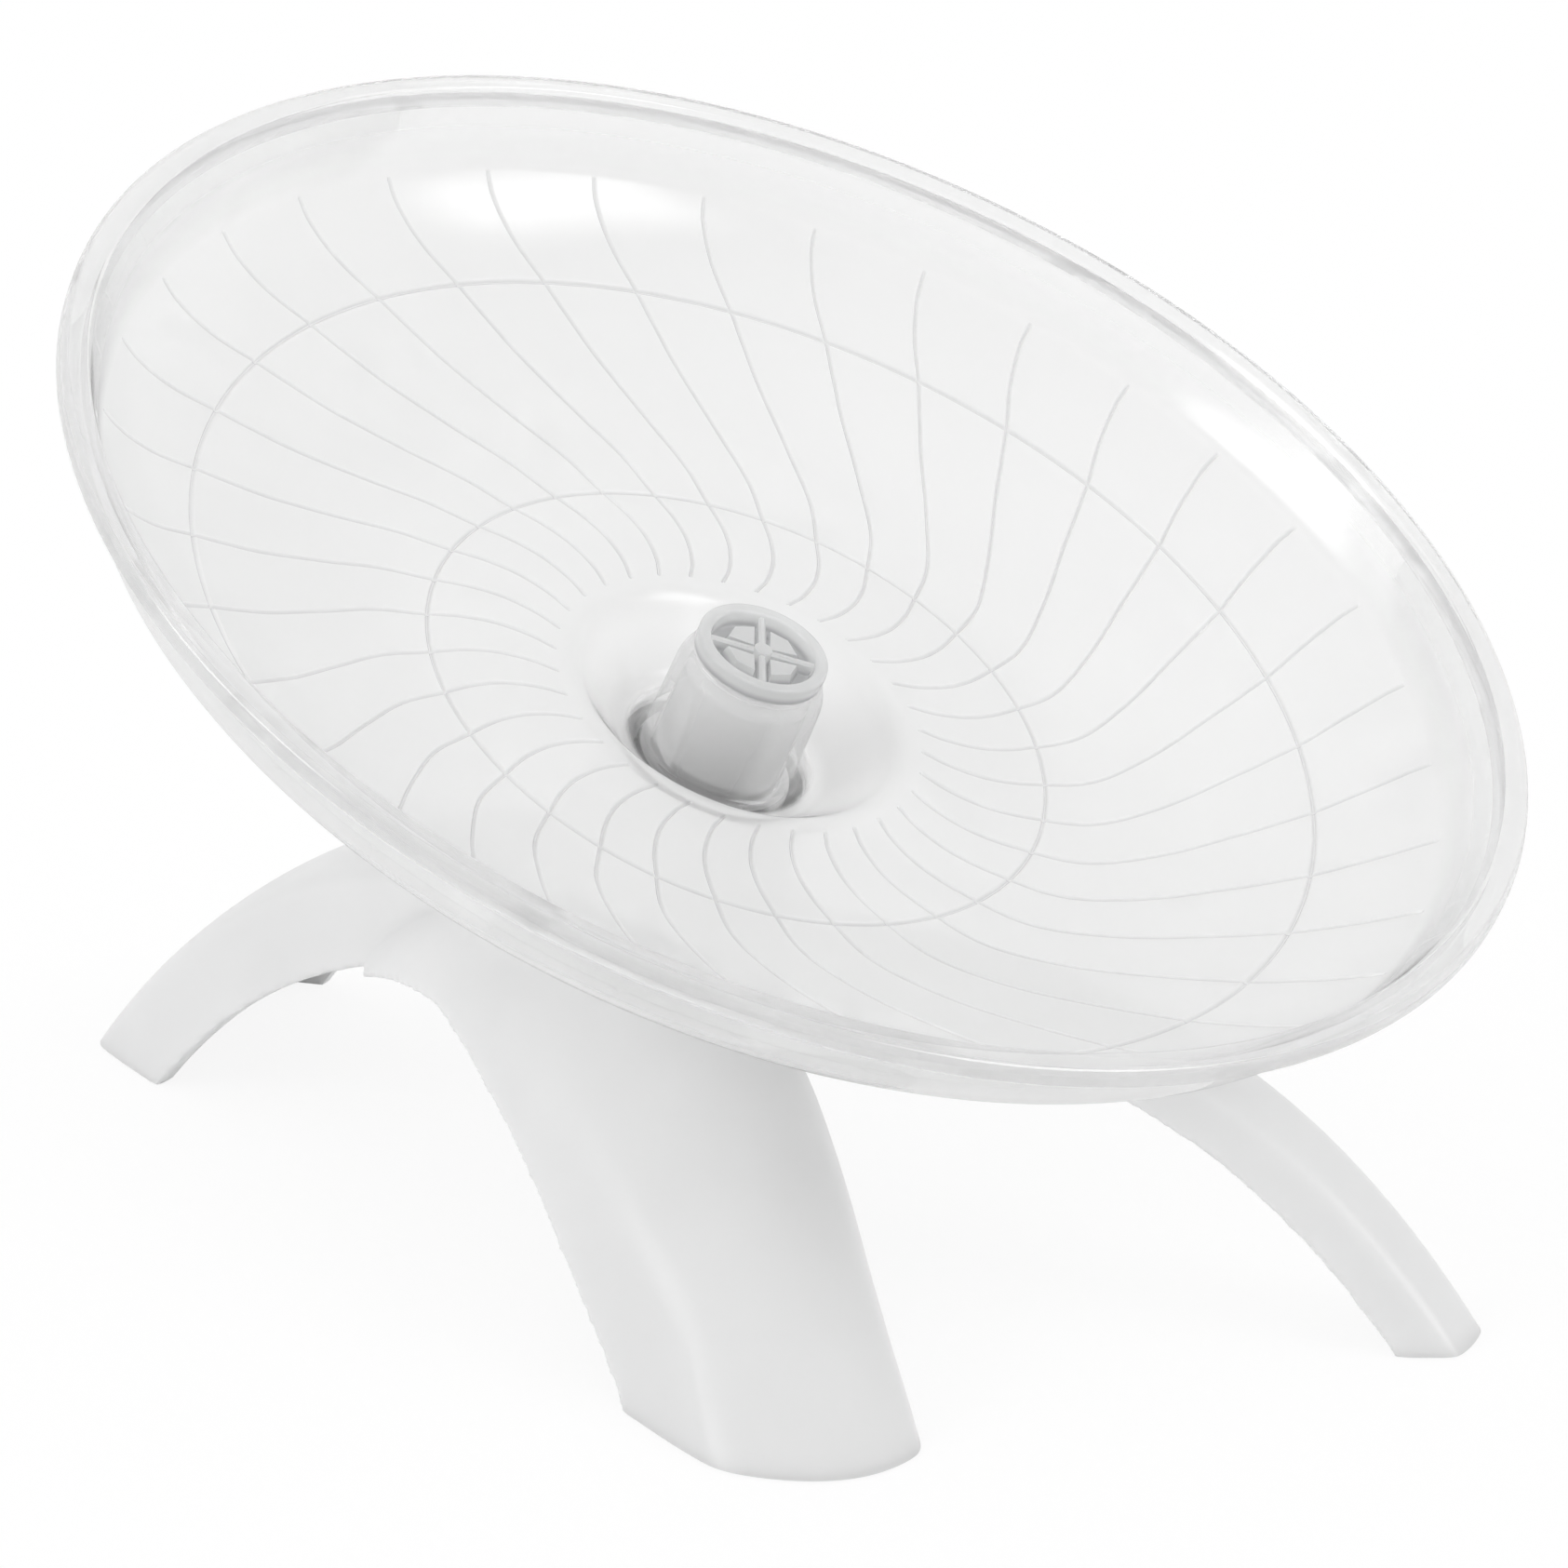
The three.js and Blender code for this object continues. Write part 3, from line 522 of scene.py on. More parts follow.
def disc_rows():
    """The closed outline of the disc and hub cup: [radius, height, on the running face]."""
    soft = HUB_ROUND
    cup = arc(HUB_TOP_RADIUS - soft, HUB_TOP - soft, soft, soft, 90, 20, 5)
    shoulder = [(HUB_SHOULDER, HUB_RADIUS, -0.02), (HUB_TOP - 0.7, HUB_TOP_RADIUS, -0.62)]
    cup += [(float(hermite(shoulder, h)), h) for h in (4.9, 4.2, 3.4, HUB_SHOULDER)]
    cup.append(((HUB_RADIUS + HUB_FOOT_RADIUS) / 2, HUB_MIDDLE))
    across, tall = MOAT_FOOT_RADIUS - HUB_FOOT_RADIUS, MOAT_DEPTH + HUB_FOOT
    cup += arc(MOAT_FOOT_RADIUS, HUB_FOOT, across, tall, 180, 262, 8)

    inner, edge, under = LIP_INNER_ROUND, LIP_EDGE_ROUND, LIP_UNDER_ROUND
    rest = arc(LIP_INNER_RADIUS + inner, LIP_HEIGHT - inner, inner, inner, 160, 90, 5)
    rest += arc(DISC_RADIUS - edge, LIP_HEIGHT - edge, edge, edge, 90, 0, 6)
    low = LIP_HEIGHT - LIP_EDGE_DEPTH
    rest += arc(DISC_RADIUS - under, low + under, under, under, 0, -90, 5)
    radii = [radius for ends in UNDER_BANDS for radius in np.arange(*ends)]
    for radius in radii + [MOAT_FOOT_RADIUS]:
        outward, upward = face_normal(radius)
        rest.append((radius - outward * DISC_WALL, face_height(radius) - upward * DISC_WALL))
    bottom = -MOAT_DEPTH - DISC_WALL
    rest += arc(BORE_FOOT_RADIUS + soft, bottom + soft, soft, soft, -90, -180, 4)
    rest += [
        (BORE_TOP_RADIUS, BORE_SHOULDER),
        (BORE_TOP_RADIUS - 0.15, BORE_SHOULDER + 0.3),
        (LEDGE_RADIUS + 0.3, LEDGE_HEIGHT - 0.1),
        (LEDGE_RADIUS, LEDGE_HEIGHT),
        (LEDGE_RADIUS, CAP_SEAT),
        (CAP_SEAT_RADIUS, CAP_SEAT),
        (CAP_SEAT_RADIUS, HUB_TOP - 0.1),
        (CAP_SEAT_RADIUS + 0.08, HUB_TOP),
    ]
    rows = [(*point, False) for point in cup]
    rows += [(radius, face_height(radius), True) for radius in face_radii()]
    return rows + [(*point, False) for point in rest]


def row_twists(rows):
    """How far the mesh is turned at each row: on the face as the grooves are, and back beneath."""
    on_face = [i for i, row in enumerate(rows) if row[2]]
    first, last = on_face[0], on_face[-1]
    inner, outer = swirl(GROOVE_START), swirl(GROOVE_END)
    twists = []
    for i, (radius, _, _) in enumerate(rows):
        if i < first:
            twists.append(inner)
        elif i <= last:
            twists.append(swirl(radius))
        else:
            twists.append(outer + (inner - outer) * ramp(i, last, len(rows)))
    return twists


def running_disc():
    """The disc with its grooves. An attribute of the mesh says how deep each point is in one."""
    offsets = GROOVE_OFFSETS + [0.0] + [-o for o in reversed(GROOVE_OFFSETS)]
    fills = [(k + 1) / (PLAIN_COLUMNS + 1) for k in range(PLAIN_COLUMNS)]
    pitch = 2 * math.pi / GROOVE_COUNT
    rows = disc_rows()
    points = []
    depths = []
    for (radius, height, on_face), twist in zip(rows, row_twists(rows)):
        reach = max(radius, LEAST_COLUMN_RADIUS)
        edge = offsets[-1] / reach
        angles = [o / reach for o in offsets]
        angles += [edge + (pitch - 2 * edge) * share for share in fills]
        in_ring = in_groove = outward = upward = 0.0
        if on_face:
            outward, upward = face_normal(radius)
            in_ring = max(dip((radius - ring) / GROOVE_HALF_WIDTH) for ring in RINGS)
            in_groove = groove_share(radius)
        across = [dip(o / GROOVE_HALF_WIDTH) for o in offsets] + [0.0] * PLAIN_COLUMNS
        for k in range(GROOVE_COUNT):
            for angle, share in zip(angles, across):
                depth = max(in_ring, in_groove * share)
                depths.append(depth)
                sink = depth * GROOVE_DEPTH
                r = radius - outward * sink
                a = twist + k * pitch + angle
                points.append((r * math.cos(a), r * math.sin(a), height - upward * sink))
    columns = GROOVE_COUNT * (len(offsets) + PLAIN_COLUMNS)
    faces = grid_faces(len(rows), columns, True)
    obj = make_object("running_disc_fine", to_row(np.array(points)), faces)
    groove = obj.data.attributes.new("groove", "FLOAT", "POINT")
    groove.data.foreach_set("value", depths)
    shade_smooth(obj, 50)
    return obj


# Hub cap, bearing and fasteners


def rib(length, width, low, high, heading):
    """A rib through the axis, with softened top edges."""
    half = width / 2
    side, top = high - RIB_SOFT, half - RIB_SOFT
    section = [(-half, low), (half, low), (half, side), (top, high), (-top, high), (-half, side)]
    points = [(end, across, z) for end in (-length / 2, length / 2) for across, z in section]
    count = len(section)
    faces = [(j, (j + 1) % count, (j + 1) % count + count, j + count) for j in range(count)]
    faces += [tuple(range(count)), tuple(reversed(range(count, 2 * count)))]
    return make_object("rib", to_row(turned(points, heading)), faces, True)


def cross_boolean(target, operation, heading, *sizes):
    """Joins or cuts two ribs that cross at the axis."""
    for quarter in (0, 90):
        boolean(target, rib(*sizes, heading + quarter), operation)


def hub_cap():
    """Ring cap with a recess, a slotted pad, a cross of ribs and a boss."""
    base = [
        (0, CAP_PLUG_LOW),
        (CAP_PLUG_RADIUS, CAP_PLUG_LOW),
        (CAP_PLUG_RADIUS, CAP_FLANGE_LOW),
        (CAP_RADIUS, CAP_FLANGE_LOW, CAP_FLANGE_ROUND),
        (CAP_RADIUS, CAP_TOP),
        (CAP_RECESS + 0.15, CAP_TOP),
        (CAP_RECESS - 0.25, CAP_FLOOR),
        (0, CAP_FLOOR),
    ]
    cap = lathe("hub_cap_fine", rounded(base, CAP_ROUND, 5), FINE_SIDES)
    root = CAP_ROOT
    pad = [(0, root), (PAD_RADII[0], root), (PAD_RADII[1], CAP_TOP - 0.6), (0, CAP_TOP - 0.9)]
    boolean(cap, lathe("pad", pad, 8), "UNION")
    slot = (2 * CAP_RECESS - 1.2, SLOT_WIDTH, CAP_FLOOR + 0.1, CAP_TOP + 0.2)
    cross_boolean(cap, "DIFFERENCE", CROSS_HEADING, *slot)
    cross = (2 * CAP_RECESS + 0.2, CROSS_WIDTH, root, CAP_TOP - 0.5)
    cross_boolean(cap, "UNION", CROSS_HEADING, *cross)
    boss = [(0, root), (BOSS_RADII[0], root), (BOSS_RADII[1], CAP_TOP - 0.3), (0, CAP_TOP - 0.2)]
    boolean(cap, lathe("boss", boss, SMALL_SIDES), "UNION")
    shade_smooth(cap, SHARP_ANGLE)
    return cap


def bearing_housing():
    """Sleeve round the bearing, with a roof over the head of the screw."""
    low, seat, roof, shoulder, top = -9.0, 0.1, 3.5, 2.9, 4.3
    room = 4.4
    outline = [
        (0, roof),
        (room, roof),
        (room, seat),
        (6.55, seat),
        (6.6, low),
        (7.85, low),
        (7.45, shoulder),
        (6.2, top),
        (0, top),
    ]
    housing = lathe("bearing_housing_fine", rounded(outline, 0.25, 3), FINE_SIDES)
    shade_smooth(housing, SHARP_ANGLE)
    return housing


def race(name, outline):
    obj = lathe(name, rounded(outline, 0.18, 3))
    shade_smooth(obj, SHARP_ANGLE)
    return obj


def track(hand):
    """Ball track of the outer race (1) or the inner race (-1), from below upwards."""
    points = []
    for angle in np.radians([-20, -10, 0, 10, 20]):
        across = hand * TRACK_RADIUS * math.cos(angle)
        points.append((BALL_PITCH + across, BALL_HEIGHT + TRACK_RADIUS * math.sin(angle)))
    return points


def at_ball(k, name, radius, rows, sides):
    """A globe where ball k sits."""
    angle = 2 * math.pi * k / BALL_COUNT
    place = (BALL_PITCH * math.cos(angle), BALL_PITCH * math.sin(angle), BALL_HEIGHT)
    outline = [(radius * math.sin(a), radius * math.cos(a)) for a in np.linspace(0, math.pi, rows)]
    outline[0] = (0, radius)
    outline[-1] = (0, -radius)
    return lathe(name, outline, sides, False, lambda points: to_row(points + np.array(place)))


def bearing_pieces():
    """Node names with their fine pieces: bearing, spacer, washer and screw."""
    made = {}
    high, low = -SHIELD_SEAT_DEPTH, SHIELD_SEAT_DEPTH - BEARING_WIDTH
    outer = [
        (SHIELD_SEAT_RADIUS, -BEARING_WIDTH),
        (BEARING_RADIUS, -BEARING_WIDTH),
        (BEARING_RADIUS, 0),
        (SHIELD_SEAT_RADIUS, 0),
        (SHIELD_SEAT_RADIUS, high),
        (OUTER_RACE_INNER, high),
    ]
    outer += track(1)[::-1] + [(OUTER_RACE_INNER, low), (SHIELD_SEAT_RADIUS, low)]
    made["bearing_outer_race"] = race("outer_race_fine", outer)
    inner = [(BEARING_BORE, -BEARING_WIDTH), (INNER_RACE_OUTER, -BEARING_WIDTH)]
    inner += track(-1) + [(INNER_RACE_OUTER, 0), (BEARING_BORE, 0)]
    made["bearing_inner_race"] = race("inner_race_fine", inner)
    for k in range(BALL_COUNT):
        name = f"ball_{k + 1}"
        made[name] = at_ball(k, name + "_fine", BALL_RADIUS, 17, 32)
        shade_smooth(made[name])
    cage = lathe("ball_cage_fine", rounded(band(*CAGE), 0.12, 2), 98)
    for k in range(BALL_COUNT):
        boolean(cage, at_ball(k, "pocket", POCKET_RADIUS, 13, 24), "DIFFERENCE")
    shade_smooth(cage, SHARP_ANGLE)
    made["ball_cage"] = cage
    made["bearing_shield_top"] = race("shield_top_fine", band(*SHIELD_TOP))
    made["bearing_shield_bottom"] = race("shield_bottom_fine", band(*SHIELD_BOTTOM))
    made["spacer_ring"] = race("spacer_ring_fine", band(*SPACER))
    made["washer"] = race("washer_fine", band(*WASHER))
    made["axle_screw"] = axle_screw()
    return made


def axle_screw():
    """Pan-head screw with a cross recess, a plain neck and a coarse thread."""
    top = 3.1
    head = [(1.6, 3.0), (2.6, 2.7), (3.2, 2.15), (3.4, 1.6), (3.3, 1.2), (1.95, 1.15)]
    neck = [(1.95, 0.9), (1.95, -6.6), (1.5, -6.9)]
    pitch, core, crest_height, crest_half = 1.4, 1.42, 0.5, 0.28
    thread_start, thread_end, row_step = -7.0, -16.8, 0.1
    end, tip_length, tip_least = -16.9, 2.4, 0.2
    sides = SMALL_SIDES
    heights = np.arange(thread_start, thread_end, -row_step)
    points = []
    for radius, height in head + neck:
        points += circle(radius, height, sides)
    for height in heights:
        tip = min(1.0, max(tip_least, (height - end) / tip_length))
        for j in range(sides):
            a = 2 * math.pi * j / sides
            phase = (height / pitch - j / sides) % 1.0
            crest = max(0.0, 1 - abs(phase - 0.5) / crest_half)
            radius = (core + crest_height * crest) * tip
            points.append((radius * math.cos(a), radius * math.sin(a), height))
    rows = len(head) + len(neck) + len(heights)
    faces = grid_faces(rows, sides, False)
    pole = len(points)
    points += [(0, 0, top), (0, 0, end)]
    last = (rows - 1) * sides
    for j in range(sides):
        k = (j + 1) % sides
        faces.append((j, pole, k))
        faces.append((last + j, last + k, pole + 1))
    screw = make_object("axle_screw_fine", to_row(np.array(points)), faces)
    recess_heading, recess = 30, (2.6, 0.55, 1.9, 3.6)
    cross_boolean(screw, "DIFFERENCE", recess_heading, *recess)
    shade_smooth(screw, SHARP_ANGLE)
    return screw


# Stand


def leg_section(form, share, inset, overrun):
    """Outline across a leg, from its far lower edge over the top to its near lower edge."""
    along = min(max(share, 0), 1)
    half = form["halves"][0] + (form["halves"][1] - form["halves"][0]) * along
    skirt = form["skirts"][0] + (form["skirts"][1] - form["skirts"][0]) * along
    lift = form.get("lift", 0) * ramp(share, *CROWN_SPAN)
    outline = []
    for hand in (-1, 1):
        corner, crown, splay, length, soft = half, form["crown"], SPLAY, skirt, CORNER_ROUND
        if hand < 0:
            length -= form.get("far_cut", 0) * ramp(share, *CUT_SPAN)
            soft += (form.get("edge_round", soft) - soft) * ramp(share, *EDGE_SPAN)
        if "foot" in form:
            own = form["foot"][hand]
            corner += own["root"] + (own["foot"] - own["root"]) * ramp(share, *own["span"])
            crown += own["crown"] * ramp(share, *CROWN_SPAN)
            reach = length * math.sin(SPLAY) + half - corner
            reach += own["spread"] * ramp(share, *SPREAD_SPAN)
            splay = math.atan2(reach, length * math.cos(SPLAY) + form["crown"] - crown)
            splay += (own["steep"] - splay) * ramp(share, *STEEP_SPAN)
        corner -= inset
        edge = inset + crown
        soft *= 0.5 if inset > 0 else 1
        length += overrun
        side = [(corner * c, inset + lift + (crown - lift) * c * c) for c in TOP_SHARES]
        side += [(corner, edge + soft * 0.25), (corner + soft * math.sin(splay), edge + soft)]
        for share_down in DOWN_SHARES:
            down = soft + (length - soft) * share_down
            side.append((corner + down * math.sin(splay), edge + down * math.cos(splay)))
        if hand < 0:
            outline = [(-across, depth) for across, depth in side[1:]][::-1]
        else:
            outline += side
    return outline


def leg_loft(form, inset, overrun, stations=60):
    """Sections along a leg, each square to its arched spine."""
    heading = math.radians(form["heading"])
    along = np.array([math.cos(heading), math.sin(heading), 0])
    sideways = np.array([-along[1], along[0], 0])
    up = np.array([0, 0, 1.0])
    rise = CROWN_HEIGHT - form["sink"]
    arch = form["arch"]
    rings = []
    first = -form["tail"] / form["reach"]
    for i in range(stations):
        share = first + (LEG_OVERRUN - first) * i / (stations - 1)
        out = abs(share)
        fall = rise * arch * out ** (arch - 1) / form["reach"] * np.sign(share)
        size = math.hypot(fall, 1)
        toe = form.get("toe", 0) * ramp(share, *TOE_OUT_SPAN) * (1 - ramp(share, *TOE_BACK_SPAN))
        spine = np.array([0, form["shift"], rise * (1 - out**arch)])
        spine = spine + along * (form["reach"] * share + toe)
        ring = []
        for across, depth in leg_section(form, share, inset, overrun):
            drop = along * depth * fall / size + up * depth / size
            ring.append(spine + sideways * across - drop)
        rings.append(ring)
    return rings


def post_loft(inset, overrun, sides=SIDES, steps=20):
    """Rings down the post, from its tilted top to the flared skirt at its base."""
    top_radius = POST_TOP_RADIUS - inset
    base_radius = POST_BASE_RADIUS - inset
    base_height = CROWN_HEIGHT - POST_BASE_DROP - inset
    top_height = POST_TOP - inset
    crown = np.array([0, 0, CROWN_HEIGHT]) + CROWN_TO_DISC * AXIS
    soft = POST_TOP_ROUND
    turns = (90, 67, 45, 22)
    rings = [[] for _ in range(len(turns) + steps + 2)]
    drop = POST_SKIRT + overrun
    for j in range(sides):
        angle = 2 * math.pi * j / sides
        outward = np.array([math.cos(angle), math.sin(angle), 0])
        for i, turn in enumerate(turns):
            a = math.radians(turn)
            local = outward * (top_radius - soft + soft * math.cos(a))
            local = local + np.array([0, 0, top_height - soft + soft * math.sin(a)])
            rings[i].append(crown + TURN @ local)
        rim = crown + TURN @ (outward * top_radius + np.array([0, 0, top_height - soft]))
        base = outward * base_radius + np.array([*POST_BASE_PLACE, base_height])
        start = -AXIS * CROWN_HEIGHT * POST_FLARE_SHARE
        end = outward * base_radius * POST_SPREAD_SHARE
        for i in range(steps + 1):
            t = i / steps
            point = rim * (1 + 2 * t) * (1 - t) ** 2 + start * t * (1 - t) ** 2
            point = point + base * t**2 * (3 - 2 * t) + end * t**2 * (t - 1)
            rings[len(turns) + i].append(point)
        low = base + outward * drop * math.sin(SPLAY)
        low[2] = base_height - drop * math.cos(SPLAY)
        rings[-1].append(low)
    return rings


def loft_mesh(name, lofts):
    """Closed lofts, each with a fan over both its ends, in one mesh."""
    points = []
    faces = []
    for rings in lofts:
        start = len(points)
        across = len(rings[0])
        for loop in rings:
            points += list(loop)
        for face in grid_faces(len(rings), across, False):
            faces.append(tuple(start + i for i in face))
        for index, flip in ((0, False), (len(rings) - 1, True)):
            centre = len(points)
            points.append(np.mean(rings[index], axis=0))
            for j in range(across):
                a = start + index * across + j
                b = start + index * across + (j + 1) % across
                faces.append((centre, a, b) if flip else (centre, b, a))
    return make_object(name, stand_to_row(np.array(points)), faces, True)


def stand_solid(name, inset, overrun):
    """Post and legs, overlapping, an inset within their outside."""
    lofts = [post_loft(inset, overrun)]
    lofts += [leg_loft(form, inset, overrun) for form in LEGS.values()]
    return loft_mesh(name, lofts)


def web(heading):
    """A web from the screw boss out to the wall of the post."""
    sizes = ((0, WEB_REACH), (-WEB_HALF, WEB_HALF), (WEB_LOW, POST_TOP - 1.2))
    return box("web", *sizes, lambda points: to_row(turned(points, heading)))


def stand():
    """One smooth skin over post and legs, hollow inside, with boss, webs and spigot."""
    outer = stand_solid("stand_fine", 0, 0)
    inner = stand_solid("hollow", STAND_WALL, EDGE_OVERRUN)
    voxel_union(outer, OUTER_VOXEL, OUTER_SMOOTHING)
    voxel_union(inner, INNER_VOXEL, INNER_SMOOTHING)
    core_space = solid_copy(outer)
    boolean(outer, inner, "DIFFERENCE")
    collar = [
        (0, BOSS_LOW),
        (BOSS_RADIUS, BOSS_LOW),
        (BOSS_RADIUS + 0.1, COLLAR_LOW),
        (COLLAR_RADIUS, COLLAR_LOW),
        (COLLAR_RADIUS, POST_TOP - 1),
        (0, POST_TOP - 1),
    ]
    core = lathe("boss", collar)
    for k in range(WEB_COUNT):
        boolean(core, web(360 // WEB_COUNT * k), "UNION")
    boolean(core, core_space, "INTERSECT")
    boolean(outer, core, "UNION")
    root = POST_TOP - 1.4
    wide, narrow = SPIGOT_RADII
    spigot = [(0, root), (wide, root), (narrow, SPIGOT_TOP), (0, SPIGOT_TOP)]
    boolean(outer, lathe("spigot", rounded(spigot, 0.3, 3)), "UNION")
    gap = band(*GAP_RADII, GAP_LOW, POST_TOP + 1)
    boolean(outer, lathe("gap", gap), "DIFFERENCE")
    hole = band(0, HOLE_RADIUS, HOLE_LOW, SPIGOT_TOP + 1)
    boolean(outer, lathe("hole", hole, SMALL_SIDES), "DIFFERENCE")
    below_floor = box("floor_block", (-200, 200), (-200, 200), (-80, 0), stand_to_row)
    boolean(outer, below_floor, "DIFFERENCE")
    shade_smooth(outer, 42)
    return outer


# Helpers for materials


def feed(tree, socket, value):
    """Links another node's output to a socket, or sets a plain value on it."""
    if isinstance(value, bpy.types.NodeSocket):
        tree.links.new(value, socket)
    else:
        socket.default_value = value


def add_node(tree, kind, inputs=None, **settings):
    """A new node with its settings, and its inputs fed by their name or number."""
    node = tree.nodes.new("ShaderNode" + kind)
    for name, value in settings.items():
        setattr(node, name, value)
    for key, value in (inputs or {}).items():
        feed(tree, node.inputs[key], value)
    return node


def new_material(name):
    material = bpy.data.materials.new(name)
    material.use_nodes = True
    return material, material.node_tree, material.node_tree.nodes["Principled BSDF"]


def calculated(tree, operation, *values):
    return add_node(tree, "Math", dict(enumerate(values)), operation=operation).outputs[0]


def vector_node(tree, operation, *values):
    return add_node(tree, "VectorMath", dict(enumerate(values)), operation=operation)


def ranged(tree, value, start, end, low, high, kind="SMOOTHSTEP"):
    """Carries the span from start to end over to the one from low to high."""
    inputs = {"Value": value, "From Min": start, "From Max": end, "To Min": low, "To Max": high}
    return add_node(tree, "MapRange", inputs, interpolation_type=kind).outputs[0]


def within(tree, value, rise, fall):
    """One between two soft limits, zero outside them."""
    above = ranged(tree, value, *rise, 0.0, 1.0)
    return calculated(tree, "MULTIPLY", above, ranged(tree, value, *fall, 1.0, 0.0))


def piece_place(tree):
    """Place of a point in its own piece, so that looks ride along with it."""
    return add_node(tree, "TexCoord").outputs["Object"]


def noise(tree, scale, detail=3.0):
    inputs = {"Vector": piece_place(tree), "Scale": scale, "Detail": detail}
    return add_node(tree, "TexNoise", inputs).outputs["Fac"]


# Values of the noise between which a look drifts
NOISE_SPAN = (0.3, 0.7)


def drifting(tree, scale, detail, low, high):
    """A number that drifts over the piece."""
    return ranged(tree, noise(tree, scale, detail), *NOISE_SPAN, low, high, "LINEAR")


def mottled(tree, scale, first, second):
    """A colour that drifts over the piece."""
    node = add_node(tree, "ValToRGB", {"Fac": noise(tree, scale)})
    for element, position, colour in zip(node.color_ramp.elements, NOISE_SPAN, (first, second)):
        element.position = position
        element.color = (*colour, 1)
    return node.outputs["Color"]


def blended(tree, share, first, second):
    """A colour between two others."""
    inputs = {"Factor": share, 6: first, 7: second}
    return add_node(tree, "Mix", inputs, data_type="RGBA").outputs[2]


def bump(tree, height, strength, distance, shader):
    inputs = {"Strength": strength, "Distance": distance, "Height": height}
    feed(tree, shader.inputs["Normal"], add_node(tree, "Bump", inputs).outputs["Normal"])


def mixed(tree, share, first, second):
    return add_node(tree, "MixShader", {"Fac": share, 1: first, 2: second}).outputs[0]


def ray_share(tree, *names):
    """One where a ray is of any of these kinds."""
    path = add_node(tree, "LightPath")
    total = path.outputs[names[0]]
    for name in names[1:]:
        total = calculated(tree, "MAXIMUM", total, path.outputs[name])
    return total


def facing_share(tree, least, power):
    """Reflected share of a clear surface: least seen square on, all of it edge on."""
    facing = add_node(tree, "LayerWeight", {"Blend": 0.5}).outputs["Facing"]
    steep = calculated(tree, "POWER", facing, power)
    return calculated(tree, "MULTIPLY_ADD", steep, 1 - least, least)


def distance_along(tree, direction):
    """Distance in metres past the pivot of the disc, along a direction."""
    dot = vector_node(tree, "DOT_PRODUCT", piece_place(tree), tuple(direction)).outputs["Value"]
    return calculated(tree, "SUBTRACT", dot, float(PIVOT @ direction))


def axis_distance(tree):
    """Distance from the spin axis, in metres, of a point of a piece that rides the disc."""
    arm = vector_node(tree, "SUBTRACT", piece_place(tree), tuple(PIVOT)).outputs[0]
    across = vector_node(tree, "CROSS_PRODUCT", arm, tuple(AXIS)).outputs[0]
    return vector_node(tree, "LENGTH", across).outputs["Value"]


def grey(value):
    return (value, value, value, 1)


# Materials

# Colours, two where the surface drifts from one to the other
CLEAR_TINTS = ((0.953, 0.954, 0.954), (0.968, 0.969, 0.969))
STRAIGHT_TINT = grey(0.938)
SHADOW_TINT = grey(0.97)
DISH_HAZE = ((0.85, 0.85, 0.85), (0.88, 0.88, 0.88))
# Painted light: the moat's haze is paler, to lift its shade
MOAT_PAINTED_LIGHT = grey(0.98)
# Painted shade: the grooves' haze is darker, for their dark lines
GROOVE_PAINTED_SHADE = (0.72, 0.72, 0.722, 1)
CAP_HAZE = ((0.86, 0.865, 0.865), (0.90, 0.905, 0.905))
# Painted shade: the haze of the cap's recess is darker
CAP_RECESS_PAINTED_SHADE = (0.42, 0.425, 0.43, 1)
MILKY_TINTS = ((0.682, 0.683, 0.684), (0.702, 0.703, 0.704))
# Painted shade: dark colour for the gap in the post's top and the housing's foot
PAINTED_SHADE_TINT = (0.012, 0.012, 0.013, 1)
BEARING_STEEL = ((0.60, 0.61, 0.63), (0.70, 0.71, 0.73))
CAGE_STEEL = ((0.50, 0.47, 0.41), (0.60, 0.57, 0.51))
PLATED_STEEL = ((0.66, 0.67, 0.69), (0.76, 0.77, 0.78))
# Gloss: reflected share seen square on, and how steeply it grows; waves: strength and depth
LEAST_GLOSS, GLOSS_POWER = 0.04, 5
WAVES = (0.04, 0.001)
# Spans in metres, from the spin axis out, in which the look of the clear disc changes
HUB_WALL = (0.0093, 0.0096)
HUB_FOOT_WINDOW = (0.011, 0.0122)
MOAT_SPAN = (0.0175, 0.0215)
RIM = (0.0825, 0.0865)
# Spans in metres from the axis and along it, where shade is painted: the gap in the post's top,
# the recess of the cap, the height of the housing and its foot
GAP_IN = (0.0060, 0.0063)
GAP_OUT = (0.0113, 0.0116)
GAP_BOTTOM = (-0.0195, -0.019)
GAP_TOP = (-0.0098, -0.0093)
CAP_RECESS_HEIGHT = (0.0063, 0.0073)
HOUSING_HEIGHT = (-0.009, 0.005)
HOUSING_FOOT = (-0.0086, -0.0078)
# The gap's painted shade lies on this side, in degrees round the axis from the way downhill
GAP_SHADE_TURN = math.radians(-78)
GAP_SHADE_SPAN = (0.05, 0.3)


